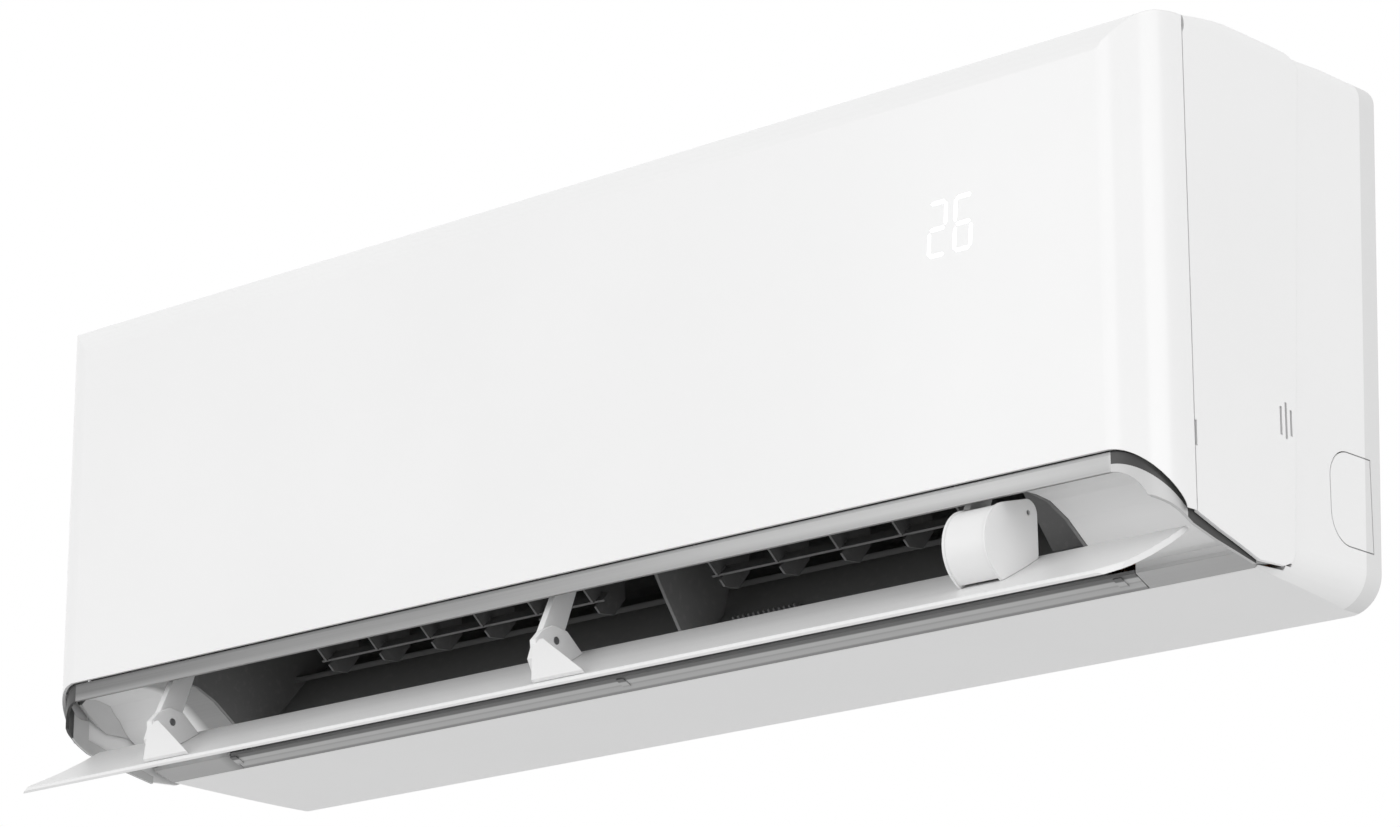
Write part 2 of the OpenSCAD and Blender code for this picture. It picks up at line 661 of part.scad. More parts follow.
boss_high = 6;
// Frame of one vane: its pivot axis points up and forward, its y axis against the air flow
module vane_frame(x) translate([x, vane_axis_at[0], vane_axis_at[1]]) rotate([vane_lean, 0, 0]) children();
module duct_section() polygon(concat(
    reversed(shifted(ceiling_line, duct_wall)), [ceiling_line[0]], cheek_front, [floor_start],
    [for (p = shifted(floor_line, -duct_wall)) p]));
// Slanting wall behind the tilt housing
pocket_shares = [[0.702, 0.291], [0.5, 0.125]];
pocket_width = 54;
shaft_side = 2;
duct_rib_shares = [-0.637, 0, 0.637];
module outlet_duct() color("dimgray") placed() difference() {
    union() {
        along_x(duct_half - pocket_width, duct_half + duct_wall / 2) polygon(band(sides(pocket_shares), duct_wall));
        along_x(-duct_half - duct_wall, duct_half + duct_wall) polygon(band(ceiling_line, duct_wall));
        along_x(-duct_half - duct_wall, duct_half + duct_wall) polygon(band(floor_line, -duct_wall));
        along_x(-duct_half - duct_wall, duct_half + duct_wall) polygon(band(sides(gutter_shares), duct_wall));
        both_ends() along_x(duct_half, duct_half + duct_wall) {
            duct_section();
            translate(fan_axis) circle(fan_radius + cheek_circle);
        }
        for (s = clip_span_shares) along_x(s * body_width / 2 - clip_half, s * body_width / 2 + clip_half)
            polygon([for (p = [[-5.4, -8], [5.6, -3.5], [5.6, 5.5], [-5.4, 5.5]])
                shaft_axis + p * arm_shaft_dia / 6]);
        for (s = tray_rib_shares) along_x(s * half_width, s * half_width + tray_rib) polygon([
            ceiling_line[1] + [duct_wall / 2, duct_wall], [ceiling_line[1][0] + duct_wall / 2, tray_z - seat_gap],
            [ceiling_line[2][0] - 3 * duct_wall, tray_z - seat_gap], ceiling_line[2] + [-3 * duct_wall, 0]]);
        for (s = screw_places_shares) along_x(s * half_width - post_half, s * half_width + post_half) polygon([
            [frame_front + frame_thick + seat_gap, screw_z - post_half],
            [frame_front + frame_thick + seat_gap, screw_z + post_half],
            [ceiling_line[0][0] + post_half, screw_z + post_half], ceiling_line[1] + [-post_half, 0],
            ceiling_line[0] + [duct_wall / 2, duct_wall]]);
        for (i = [0:len(vane_x) - 1]) vane_frame(vane_x[i])
            translate([0, 0, boss_low]) cylinder(h = boss_high - boss_low, r = boss_radius);
        // ribs to the back wall
        for (s = duct_rib_shares) along_x(s * half_width, s * half_width + tray_rib) polygon([
            [back_y(knock_low[1]) - case_wall - 2 * seat_gap, knock_low[1] + lower_radius],
            [back_y(tray_z) - case_wall - 2 * seat_gap, tray_z],
            volute_at(-30, duct_wall / 2), volute_at(-45, duct_wall / 2), volute_at(-60, duct_wall / 2)]);
        // cradle of the fan motor
        difference() {
            along_x(duct_half + duct_wall / 2, duct_half + cradle_end) translate(fan_axis)
                polygon([[-cradle_half, 0], [cradle_half, 0],
                    [cradle_half, -motor_radius], [-cradle_half, -motor_radius - cradle_drop / 4]]);
            rod_x(duct_half, duct_half + cradle_end + overrun, fan_axis, motor_radius + seat_gap);
        }
    }
    // slots for the arms
    for (x = arm_centers)
        block([x - arm_thick / 2 - slot_side, -body_depth, 0],
            [x + arm_thick / 2 + slot_side, -slot_back_share * body_depth, mouth_top + 2 * arm_hub]);
    rod_x(-half_width, half_width, shaft_axis, arm_shaft_dia / 2 + bore_clear);
    for (s = [-1, 1]) scale([s, 1, 1])
        rod_x(duct_half - overrun, duct_half + duct_wall + overrun, fan_axis, bearing_radius + bore_clear);
    rod_x(duct_half - overrun, duct_half + duct_wall + overrun, fan_axis, shaft_dia / 2 + shaft_side);
    for (i = [0:len(vane_x) - 1]) vane_frame(vane_x[i])
        translate([0, 0, -3 * boss_high]) cylinder(h = 5 * boss_high, r = vane_pin_radius + bore_clear);
    for (s = screw_places_shares) translate([s * half_width, 0, screw_z])
        along_y(frame_front, frame_front + screw_length + overrun) circle(screw_radius + bore_clear);
}

module outlet_sill() color("lightgray") placed()
    along_x(-sill_half, sill_half) polygon(sill_profile);
clip_marks_shares = [-0.812, -0.042, 0.789];
mark_width = 6;
mark_rise = 0.9;
mark_gap = 0.2;
module sill_clips() color("gray") placed() for (s = clip_marks_shares) {
    a = sill_profile[1];
    d = sill_profile[0] - a;
    n = -left_of(unit(d));
    along_x(s * half_width - mark_width / 2, s * half_width + mark_width / 2)
        polygon([a + 0.05 * d + mark_gap * n, a + 0.05 * d + mark_rise * n, a + 0.6 * d + mark_rise * n,
            a + 0.6 * d + mark_gap * n]);
}

// Fin that divides the duct
divider_share = 0.089;
divider_shares = [[0.776, 0.222], [0.747, 0.238], [0.686, 0.317], [0.657, 0.385]];
divider_edge_shares = [[0.653, 0.091], [0.71, 0.15]];
module duct_divider() color("gray") placed()
    along_x(divider_share * half_width, divider_share * half_width + duct_wall) polygon(concat(
        [for (p = sides(divider_shares)) p + [seat_gap, -seat_gap]],
        [volute_at(-88, -volute_growth / 2)],
        [floor_line[1] + [0, 2 * seat_gap], floor_line[0] + [seat_gap, 3 * seat_gap]],
        sides(divider_edge_shares)));

// Small comb on the floor of the duct
comb_from_share = 0.13;
comb_to_share = 0.24;
comb_teeth = 13;
comb_base = 1.6;
comb_tooth = 5;
comb_width = 1.2;
module ion_comb() color("gray") placed() {
    a = floor_line[0] + 0.7 * (floor_line[1] - floor_line[0]);
    d = unit(floor_line[1] - floor_line[0]);
    n = left_of(d);
    x0 = comb_from_share * half_width;
    x1 = comb_to_share * half_width;
    along_x(x0, x1) polygon([a + seat_gap * n, a + comb_tooth * d + seat_gap * n,
        a + comb_tooth * d + (seat_gap + comb_base) * n, a + (seat_gap + comb_base) * n]);
    for (i = [0:comb_teeth - 1]) {
        x = x0 + (x1 - x0 - comb_width) * i / (comb_teeth - 1);
        along_x(x, x + comb_width) polygon([a + comb_base * n, a + comb_base * n + comb_base * d,
            a + comb_tooth * n + comb_base * d, a + comb_tooth * n]);
    }
}

// Flap, drawn closed in the mouth and turned to its open place
flap_out_shares = [[0.005, 0], [0.25, -0.42], [0.5, -0.55], [0.75, -0.42], [0.99, 0]];
flap_in_shares = [[1, 0.4], [0.985, 0.85], [0.75, 0.48], [0.5, 0.35], [0.25, 0.48], [0.02, 0.8], [0, 0.4]];
function on_flap(p) = closed_rear + p[0] * mouth_dir + p[1] * mouth_up;
function flap_point(p) = on_flap([p[0] * flap_chord, p[1] * flap_thick]);
function flap_inner(u) = flap_thick * lookup(u / flap_chord, [for (p = flap_in_shares) [p[0], p[1]]]);
module opened() translate([0, flap_pivot[0], flap_pivot[1]]) rotate([flap_turn, 0, 0])
    translate([0, -closed_pivot[0], -closed_pivot[1]]) children();
flap_clip = 4.2;
module flap_outline() {
    r = mouth_radius - flap_clip;
    cx = half_width - mouth_radius;
    for (s = [-1, 1]) translate([s * cx, mouth_top - mouth_radius]) circle(r);
    translate([-cx, -body_height]) square([2 * cx, 2 * body_height]);
    translate([-cx - r, -body_height]) square([2 * (cx + r), body_height + mouth_top - mouth_radius]);
}
module flap() color("gainsboro") placed() opened() intersection() {
    along_x(-flap_half, flap_half) polygon([for (p = concat(flap_out_shares, flap_in_shares)) flap_point(p)]);
    along_y(-body_depth, 0) flap_outline();
}
bracket_shares = [[0.63, 0.82], [0.56, 1.13], [0.54, 1.38], [0.44, 1.54], [0.3, 1.54], [0.185, 1.13]];
bracket_thick = 5;
bracket_feet_shares = [0.1, 0.25, 0.5, 0.63];
foot_gap = 0.2;
web_from_shares = [0.5, 1.2];
web_to_shares = [0.93, 0.19];
web_thick = 2.5;
web_foot = 43;
web_lean = 22;
web_head = 9;
web_start = on_flap([web_from_shares[0] * flap_chord, web_from_shares[1] * pivot_over]);
web_end = on_flap([web_to_shares[0] * flap_chord, web_to_shares[1] * pivot_over]);
module bracket_web(x0) translate([0, web_end[0], web_end[1]])
    rotate([atan2(web_start[1] - web_end[1], web_start[0] - web_end[0]), 0, 0]) linear_extrude(web_thick)
        polygon([[x0 + web_lean, 0], [x0 + web_lean + web_foot, 0],
            [x0 + web_head, norm(web_start - web_end)],
            [x0, norm(web_start - web_end)]]);
module bracket_plate(x0, x1) placed() opened() difference() {
    union() {
        bracket_side(x0, x1);
        bracket_web(x0);
    }
    rod_x(x0 - overrun, x1 + overrun, closed_pivot, flap_pin_dia / 2 + bore_clear);
}
module bracket_side(x0, x1)
    along_x(x0, x1) polygon(concat(
        [for (s = bracket_feet_shares) on_flap([s * flap_chord, flap_inner(s * flap_chord) + foot_gap])],
        [for (p = bracket_shares) on_flap([p[0] * flap_chord, p[1] * pivot_over])]));
module flap_bracket_left() color("gainsboro")
    bracket_plate(-arm_out + arm_thick + arm_gap, -arm_out + arm_thick + arm_gap + bracket_thick);
module flap_bracket_center() color("gainsboro") bracket_plate(arm_gap / 2, arm_gap / 2 + bracket_thick);

// Arms on the torsion shaft, and their pins
arm_eye = 7;
module arm_plate(x) placed() difference() {
    along_x(x - arm_thick / 2, x + arm_thick / 2) {
        translate(flap_pivot) circle(arm_hub);
        translate(shaft_axis) circle(arm_eye);
        polygon([flap_pivot + arm_hub * left_of(arm_dir), flap_pivot - arm_hub * left_of(arm_dir),
            shaft_axis - arm_eye * left_of(arm_dir), shaft_axis + arm_eye * left_of(arm_dir)]);
    }
    rod_x(x - arm_thick, x + arm_thick, flap_pivot, flap_pin_dia / 2 + bore_clear / 2);
    rod_x(x - arm_thick, x + arm_thick, shaft_axis, arm_shaft_dia / 2 + bore_clear / 2);
}
module flap_arm_left() color("whitesmoke") arm_plate(arm_centers[0]);
module flap_arm_center() color("whitesmoke") arm_plate(arm_centers[1]);
module flap_arm_right() color("whitesmoke") arm_plate(arm_centers[2]);
module flap_pins() color("silver") placed() {
    rod_x(-arm_out, -arm_out + arm_thick + arm_gap + bracket_thick, flap_pivot, flap_pin_dia / 2);
    rod_x(arm_centers[1] - arm_thick / 2, arm_gap / 2 + bracket_thick, flap_pivot, flap_pin_dia / 2);
    rod_x(arm_centers[2] - arm_thick / 2, drum_x0 + tilt_depth / 2, flap_pivot, flap_pin_dia / 2);
}
module arm_shaft() color("silver") placed()
    rod_x(-arm_out, duct_half + duct_wall + motor_near, shaft_axis, arm_shaft_dia / 2);
arm_motor_radius = 9;
arm_motor_length = 18;
module arm_motor() color("silver") placed() difference() {
    rod_x(duct_half + duct_wall + seat_gap, duct_half + duct_wall + arm_motor_length, shaft_axis, arm_motor_radius);
    rod_x(duct_half, duct_half + duct_wall + motor_near + seat_gap, shaft_axis, arm_shaft_dia / 2 + bore_clear);
}

// Housing of the tilt motor on the right of the flap: a drum with a lobe between two side plates
drum_radius = 24.5;
lobe_radius = 8;
lobe_over = [15.9, 21.5];
lobe_place = closed_pivot + turn(lobe_over, -flap_turn);
lobe_hole = 1.6;
drum_wall = 1.6;
drum_step = 0.8;
drum_lift = 1.6;
drum_foot_shares = [0.03, 0.25, 0.5, 0.75];
function tangent_dir(u, k, s) = k * u + s * sqrt(1 - k * k) * left_of(u);
module drum_shape(inset, lift) intersection() {
    u = unit(lobe_place - closed_pivot);
    k = (drum_radius - lobe_radius) / norm(lobe_over);
    union() {
        translate(closed_pivot) circle(drum_radius - inset);
        translate(lobe_place) circle(lobe_radius - inset);
        polygon([closed_pivot + (drum_radius - inset) * tangent_dir(u, k, 1),
            closed_pivot + (drum_radius - inset) * tangent_dir(u, k, -1),
            lobe_place + (lobe_radius - inset) * tangent_dir(u, k, -1),
            lobe_place + (lobe_radius - inset) * tangent_dir(u, k, 1)]);
    }
    polygon(concat([for (s = drum_foot_shares)
        on_flap([s * flap_chord, flap_inner(s * flap_chord) + foot_gap + lift])],
        [on_flap([drum_foot_shares[3] * flap_chord, 3 * drum_radius]),
            on_flap([-drum_radius, 3 * drum_radius]), on_flap([-drum_radius, flap_thick])]));
}
module tilt_housing() color("whitesmoke") placed() opened() difference() {
    union() {
        along_x(drum_x0, drum_x0 + drum_wall) drum_shape(0, 0);
        along_x(drum_x0 + drum_wall / 2, drum_x1 - drum_wall / 2) drum_shape(drum_step, drum_lift);
        along_x(drum_x1 - drum_wall, drum_x1) drum_shape(0, 0);
    }
    along_x(drum_x0 + 2 * drum_wall, drum_x1 - drum_wall) drum_shape(drum_step + drum_wall, drum_lift + drum_wall);
    rod_x(drum_x0 - overrun, drum_x0 + 3 * drum_wall, closed_pivot, flap_pin_dia / 2 + bore_clear);
    rod_x(drum_x1 - 2 * drum_wall, drum_x1 + overrun, lobe_place, lobe_hole);
}
tilt_motor_radius = 12;
module tilt_motor() color("silver") placed() difference() {
    rod_x(drum_x0 + 2 * drum_wall + seat_gap, drum_x1 - drum_wall - seat_gap, flap_pivot, tilt_motor_radius);
    rod_x(drum_x0, drum_x0 + tilt_depth / 2 + seat_gap, flap_pivot, flap_pin_dia / 2 + bore_clear);
}

// Upright vanes and their link bars
vane_top = 4.2;
vane_bottom = 44;
vane_front = 26;
vane_rear = 8;
vane_corner = 9;
link_along = 20;
link_down = 28;
link_front = 3;
link_rear = 4.8;
link_pin_radius = 1;
link_clear = 0.3;
notch_rear = 6;
vane_swing = 30;
module vane(x, pin_top) color("gray") placed() vane_frame(x) {
    difference() {
        along_x(-vane_thick / 2, vane_thick / 2) difference() {
            polygon([[-vane_front, -vane_top], [vane_rear, -vane_top], [vane_rear, -vane_bottom + vane_corner],
                [vane_rear - vane_corner, -vane_bottom], [-vane_front + vane_corner, -vane_bottom],
                [-vane_front, -vane_bottom + vane_corner]]);
            translate([-vane_front - overrun, -link_down - link_size / 2 - 2 * link_clear])
                square([vane_front + overrun - link_along + notch_rear, link_size + 4 * link_clear]);
        }
    }
    translate([0, -link_along, -link_down - link_size])
        cylinder(h = 2 * link_size, r = link_pin_radius);
    translate([0, 0, -2 * vane_top]) cylinder(h = 2 * vane_top + pin_top, r = vane_pin_radius);
}
drive_pin = 11;
free_pin = 5.5;
module vane_left_1() vane(vane_left_x[0], drive_pin);
module vane_left_2() vane(vane_left_x[1], free_pin);
module vane_left_3() vane(vane_left_x[2], free_pin);
module vane_left_4() vane(vane_left_x[3], free_pin);
module vane_left_5() vane(vane_left_x[4], free_pin);
module vane_left_6() vane(vane_left_x[5], free_pin);
module vane_right_1() vane(vane_right_x[0], drive_pin);
module vane_right_2() vane(vane_right_x[1], free_pin);
module vane_right_3() vane(vane_right_x[2], free_pin);
module vane_right_4() vane(vane_right_x[3], free_pin);
module vane_right_5() vane(vane_right_x[4], free_pin);
link_end = 7;
pin_shift = link_along * (1 - cos(vane_swing));
module link_bar(xs) color("gray") placed() vane_frame(0) difference() {
    block([xs[0] - link_end, -link_along - link_front, -link_down - link_size / 2],
        [xs[len(xs) - 1] + link_end, -link_along + link_rear, -link_down + link_size / 2]);
    for (x = xs) {
        block([x - link_pin_radius - link_clear, -link_along, -link_down - link_size],
            [x + link_pin_radius + link_clear, -link_along + pin_shift, -link_down + link_size]);
        for (y = [-link_along, -link_along + pin_shift]) translate([x, y, -link_down - link_size])
            cylinder(h = 2 * link_size, r = link_pin_radius + link_clear);
    }
}
module link_left() link_bar(vane_left_x);
module link_right() link_bar(vane_right_x);
vane_motor_radius = 8;
vane_motor_height = 9;
module vane_motors() color("silver") placed() for (x = [vane_left_x[0], vane_right_x[0]])
    vane_frame(x) translate([0, 0, boss_high + seat_gap]) difference() {
        cylinder(h = vane_motor_height, r = vane_motor_radius);
        translate([0, 0, -overrun]) cylinder(h = drive_pin - boss_high + overrun + seat_gap,
            r = vane_pin_radius + bore_clear);
    }

// Cross flow fan, shaft, bearing and motor
blade_inner_share = 0.78;
blade_thick = 1.1;
blade_bow = 22;
ring_thick_x = 1.6;
hub_radius = 12;
hub_length = 10;
fan_half = duct_half - fan_end;
fan_length = 2 * fan_half;
blade_steps = 3;
module blade() {
    outer = [for (i = [0:blade_steps]) let (k = i / blade_steps, r = fan_radius * (blade_inner_share + (0.985 - blade_inner_share) * k),
        a = blade_bow * k * k / 1.5) r * [cos(a), sin(a)]];
    polygon(band(outer, blade_thick));
}
module fan_tube(x0, x1, r1, r0) difference() {
    rod_x(x0, x1, fan_axis, r1);
    rod_x(x0 - overrun, x1 + overrun, fan_axis, r0);
}
module crossflow_fan() color("slategray") placed() {
    along_x(-fan_half + ring_thick_x / 2, fan_half - ring_thick_x / 2) translate(fan_axis)
        for (i = [0:blade_count - 1]) rotate(360 * i / blade_count) blade();
    for (i = [1:ring_count - 1]) {
        x = -fan_half + fan_length * i / ring_count - ring_thick_x / 2;
        fan_tube(x, x + ring_thick_x, fan_radius, fan_radius * blade_inner_share - blade_thick);
    }
    for (s = [-1, 1]) scale([s, 1, 1]) {
        fan_tube(fan_half - ring_thick_x, fan_half, fan_radius, shaft_dia / 2);
        fan_tube(fan_half - hub_length, fan_half - ring_thick_x / 2, hub_radius, shaft_dia / 2);
    }
}
motor_shaft_in = 24;
module fan_shaft() color("silver") placed() {
    rod_x(fan_half - hub_length, duct_half + duct_wall + motor_near + motor_shaft_in, fan_axis, shaft_dia / 2);
    rod_x(-duct_half - duct_wall, -fan_half + hub_length, fan_axis, shaft_dia / 2);
}
module fan_bearing() color("darkslategray") placed() difference() {
    rod_x(-duct_half - duct_wall, -duct_half, fan_axis, bearing_radius);
    rod_x(-duct_half - duct_wall - overrun, -duct_half + overrun, fan_axis, shaft_dia / 2 + bore_clear);
}
motor_length = 50;
motor_x = duct_half + duct_wall + motor_near;
module fan_motor() color("dimgray") placed() difference() {
    union() {
        rod_x(motor_x, motor_x + motor_length, fan_axis, motor_radius);
        rod_x(motor_x - motor_near / 2, motor_x + overrun, fan_axis, motor_radius / 3);
    }
    rod_x(motor_x - motor_near, motor_x + motor_shaft_in + seat_gap, fan_axis, shaft_dia / 2 + bore_clear);
}
strap_width = 16;
strap_thick = 1.5;
module motor_clamp() color("silver") placed()
    along_x(motor_x + strap_width, motor_x + 2 * strap_width) translate([fan_axis[0], fan_axis[1]]) {
        difference() {
            circle(motor_radius + seat_gap + strap_thick);
            circle(motor_radius + seat_gap);
            translate([-body_depth, -body_depth]) square([2 * body_depth, body_depth + seat_gap]);
        }
        for (s = [-1, 1]) scale([s, 1]) translate([motor_radius + seat_gap + strap_thick / 2, seat_gap])
            square([cradle_half - motor_radius - strap_thick, strap_thick]);
    }

// Evaporator: three slabs of fins, tubes with return bends, end plates and pipes
coil_half = 0.7 * half_width;
slab_shares = [[[0.8326, 0.352], [0.8326, 0.691]], [[0.828, 0.712], [0.482, 0.903]], [[0.43, 0.9], [0.245, 0.706]]];
tube_rows = [5, 5, 4];
fin_slots = 90;
slot_width = 2.6;
slot_cut = 2.4;
tube_clear = 0.1;
function slab_from(s) = side(s[0]);
function slab_to(s) = side(s[1]);
module slab_outline(s, grow) {
    a = slab_from(s);
    b = slab_to(s);
    d = unit(b - a);
    n = left_of(d) * (slab_thick / 2 + grow);
    polygon([a - grow * d + n, b + grow * d + n, b + grow * d - n, a - grow * d - n]);
}
function tube_at(k, i, j) = let (a = slab_from(slab_shares[k]), b = slab_to(slab_shares[k]),
    d = unit(b - a), t = (i + 0.25 + 0.5 * j) / tube_rows[k]) a + t * (b - a)
    + (j - 0.5) * slab_thick / 2 * left_of(d);
tube_places = [for (k = [0:2], i = [0:tube_rows[k] - 1], j = [0, 1]) tube_at(k, i, j)];
module evaporator_fins() color("silver") placed() difference() {
    for (s = slab_shares) along_x(-coil_half, coil_half) slab_outline(s, 0);
    for (p = tube_places) rod_x(-coil_half - overrun, coil_half + overrun, p, coil_tube_dia / 2 + tube_clear);
    for (i = [0:fin_slots - 1]) {
        x = -coil_half + (2 * coil_half) * (i + 0.5) / fin_slots;
        a = slab_from(slab_shares[0]);
        b = slab_to(slab_shares[0]);
        block([x - slot_width / 2, a[0] - slab_thick, a[1] - overrun],
            [x + slot_width / 2, a[0] - slab_thick / 2 + slot_cut, b[1] + overrun]);
    }
}
bend_gap = 4;
socket_wall = 0.6;
socket_long = 4;
rod_short = 2;
// Half ring that joins the tube ends p and q at the right (1) or left (-1)
module return_bend(p, q, e) {
    translate([e * (coil_half + bend_gap), (p[0] + q[0]) / 2, (p[1] + q[1]) / 2])
        rotate([atan2(q[1] - p[1], q[0] - p[0]), 0, 0]) rotate([0, 0, -90 * e])
            rotate_extrude(angle = 180) translate([norm(q - p) / 2, 0]) circle(coil_tube_dia / 2);
    for (v = [p, q]) scale([e, 1, 1]) rod_x(coil_half + bend_gap - socket_long / 2 - socket_wall / 2,
        coil_half + bend_gap + socket_long / 2, v, coil_tube_dia / 2 + socket_wall);
}
module evaporator_tubes() color("peru") placed() {
    for (p = tube_places) rod_x(-coil_half - bend_gap + rod_short / 2, coil_half + bend_gap - rod_short / 2, p,
        coil_tube_dia / 2);
    for (k = [0:2], i = [0:tube_rows[k] - 1]) return_bend(tube_at(k, i, 0), tube_at(k, i, 1), -1);
    for (k = [0:2], i = [0:tube_rows[k] - 2]) return_bend(tube_at(k, i, 1), tube_at(k, i + 1, 0), 1);
}
plate_sheet = 1.2;
plate_grow = 2;
module evaporator_plates() color("lightgray") placed() both_ends()
    along_x(coil_half, coil_half + plate_sheet) difference() {
        for (s = slab_shares) slab_outline(s, plate_grow);
        for (p = tube_places) translate(p) circle(coil_tube_dia / 2 + tube_clear);
    }
pipe_start = coil_half + bend_gap - rod_short / 2 + seat_gap;
gas_x = 378;
liquid_x = 392;
gas_start = side([0.8326, 0.6727]);
liquid_start = side([0.8, 0.7273]);
gas_back = side([0.1143, 0.1515]);
liquid_back = side([0.106, 0.097]);
pipe_end_x = 120;
gas_bend = 16;
liquid_bend = 11;
// One open run of pipe: out of the coil, back, down and along the rear
module pipe_elbow(r, bend) rotate_extrude(angle = 90) translate([bend, 0]) circle(r);
module pipe_socket(p, turns, r) translate(p) rotate(turns)
    translate([0, 0, -socket_long]) cylinder(h = 2 * socket_long, r = r + socket_wall);
module pipe_run(r, bend, x, a, b) {
    g = rod_short / 4;
    rod_x(pipe_start, x - bend - g, a, r);
    pipe_socket([x - bend, a[0], a[1]], [0, 90, 0], r);
    translate([x - bend, a[0] + bend, a[1]]) rotate([0, 0, 270]) pipe_elbow(r, bend);
    pipe_socket([x, a[0] + bend, a[1]], [90, 0, 0], r);
    translate([x, b[0] - bend - g, a[1]]) rotate([90, 0, 0]) cylinder(h = b[0] - a[0] - 2 * bend - 2 * g, r = r);
    pipe_socket([x, b[0] - bend, a[1]], [90, 0, 0], r);
    translate([x, b[0] - bend, a[1] - bend]) rotate([90, 0, 90]) pipe_elbow(r, bend);
    pipe_socket([x, b[0], a[1] - bend], [0, 0, 0], r);
    translate([x, b[0], b[1] + bend + g]) cylinder(h = a[1] - b[1] - 2 * bend - 2 * g, r = r);
    pipe_socket([x, b[0], b[1] + bend], [0, 0, 0], r);
    translate([x - bend, b[0], b[1] + bend]) rotate([90, 90, 0]) pipe_elbow(r, bend);
    pipe_socket([x - bend, b[0], b[1]], [0, 90, 0], r);
    rod_x(pipe_end_x, x - bend - g, b, r);
}
bore_depth = 60;
module gas_pipe() color("peru") placed() difference() {
    pipe_run(gas_pipe_dia / 2, gas_bend, gas_x, gas_start, gas_back);
    rod_x(pipe_end_x - overrun, pipe_end_x + bore_depth, gas_back, gas_pipe_dia / 2 - pipe_wall);
}
module liquid_pipe() color("peru") placed() difference() {
    pipe_run(liquid_pipe_dia / 2, liquid_bend, liquid_x, liquid_start, liquid_back);
    rod_x(pipe_end_x - overrun, pipe_end_x + bore_depth, liquid_back, liquid_pipe_dia / 2 - pipe_wall);
}
nut_length = 20;
nut_wall = 4;
module flare_nuts() color("goldenrod") placed() for (v = [[gas_back, gas_pipe_dia], [liquid_back, liquid_pipe_dia]])
    translate([pipe_end_x - nut_length / 4, v[0][0], v[0][1]]) rotate([0, 90, 0]) difference() {
        cylinder(h = nut_length, r = v[1] / 2 + nut_wall, $fn = 6);
        translate([0, 0, -overrun]) cylinder(h = nut_length + 2 * overrun, r = v[1] / 2 + tube_clear);
    }

// Drain tray under the front slab, with a spigot at both ends
tray_y0 = -0.91 * body_depth;
tray_y1 = -0.759 * body_depth;
tray_wall = 2;
tray_half = 411;
tray_low = 11;
tray_high = 18;
spigot_radius = 8;
spigot_wall = 1.8;
spigot_length = 22;
spigot_x = 400;
tray_seat = 2;
module drain_tray() color("lightgray") placed() difference() {
    union() {
        along_x(-tray_half, tray_half) polygon([[tray_y0, tray_z + tray_high], [tray_y0, tray_z],
            [tray_y1, tray_z], [tray_y1, tray_z + tray_low], [tray_y1 - tray_wall, tray_z + tray_low],
            [tray_y1 - tray_wall, tray_z + tray_wall], [tray_y0 + tray_wall, tray_z + tray_wall],
            [tray_y0 + tray_wall, tray_z + tray_high]]);
        both_ends() block([tray_half - tray_wall, tray_y0, tray_z], [tray_half, tray_y1, tray_z + tray_low]);
        for (s = tray_rib_shares) block([s * half_width, tray_y0 + tray_wall / 2, tray_z + tray_wall / 2],
            [s * half_width + tray_rib, tray_y1 - tray_wall / 2, slab_from(slab_shares[0])[1] - seat_gap]);
        both_ends() translate([spigot_x, (tray_y0 + tray_y1) / 2, tray_z - spigot_length])
            cylinder(h = spigot_length + tray_wall / 2, r = spigot_radius);
    }
    both_ends() translate([spigot_x, (tray_y0 + tray_y1) / 2, tray_z - spigot_length - overrun])
        cylinder(h = spigot_length + 2 * tray_wall + overrun, r = spigot_radius - spigot_wall);
}
plug_length = 14;
plug_rim = 2;
module drain_plug() color("dimgray") placed()
    translate([-spigot_x, (tray_y0 + tray_y1) / 2, tray_z - spigot_length - plug_rim - seat_gap]) {
        cylinder(h = plug_rim, r = spigot_radius);
        cylinder(h = plug_length, r = spigot_radius - spigot_wall - bore_clear);
    }

// Electrical box at the right end
box_x0 = 403;
box_x1 = 440;
box_y1 = -0.66 * body_depth;
box_z0 = 0.46 * body_height;
box_z1 = 0.9 * body_height;
box_wall = 1.6;
module electrical_box() color("gainsboro") placed() difference() {
    block([box_x0, frame_front + frame_thick + seat_gap, box_z0], [box_x1, box_y1, box_z1]);
    block([box_x0 + box_wall, frame_front, box_z0 + box_wall],
        [box_x1 - box_wall, box_y1 - box_wall, box_z1 - box_wall]);
    translate([button_place[0], 0, button_place[1]])
        along_y(frame_front, frame_front + 3 * button_length) circle(button_radius + 2 * button_flange);
}
board_gap = 3;
module main_board() color("darkgreen") placed() {
    x0 = box_x0 + box_wall + seat_gap;
    y0 = frame_front + frame_thick + 4 * board_gap;
    y1 = box_y1 - box_wall - board_gap;
    z0 = box_z0 + box_wall + 12 * board_gap;
    z1 = box_z1 - box_wall - board_gap;
    block([x0, y0, z0], [x0 + board_thick, y1, z1]);
    // transformer, capacitor, relay and heat sink
    block([x0, y0 + board_gap, z1 - 12 * board_gap], [x0 + 8 * board_gap, y0 + 10 * board_gap, z1 - 4 * board_gap]);
    translate([x0, y1 - 5 * board_gap, z0 + 5 * board_gap]) rotate([0, 90, 0])
        cylinder(h = 8 * board_gap, r = 3 * board_gap);
    block([x0, y0 + 2 * board_gap, z0 + 2 * board_gap], [x0 + 4 * board_gap, y0 + 6 * board_gap, z0 + 8 * board_gap]);
    block([x0, y0 + 2 * board_gap, z0 + 12 * board_gap],
        [x0 + 5 * board_gap, y0 + 7 * board_gap, z0 + 18 * board_gap]);
}
terminal_count = 4;
terminal_pitch = 10;
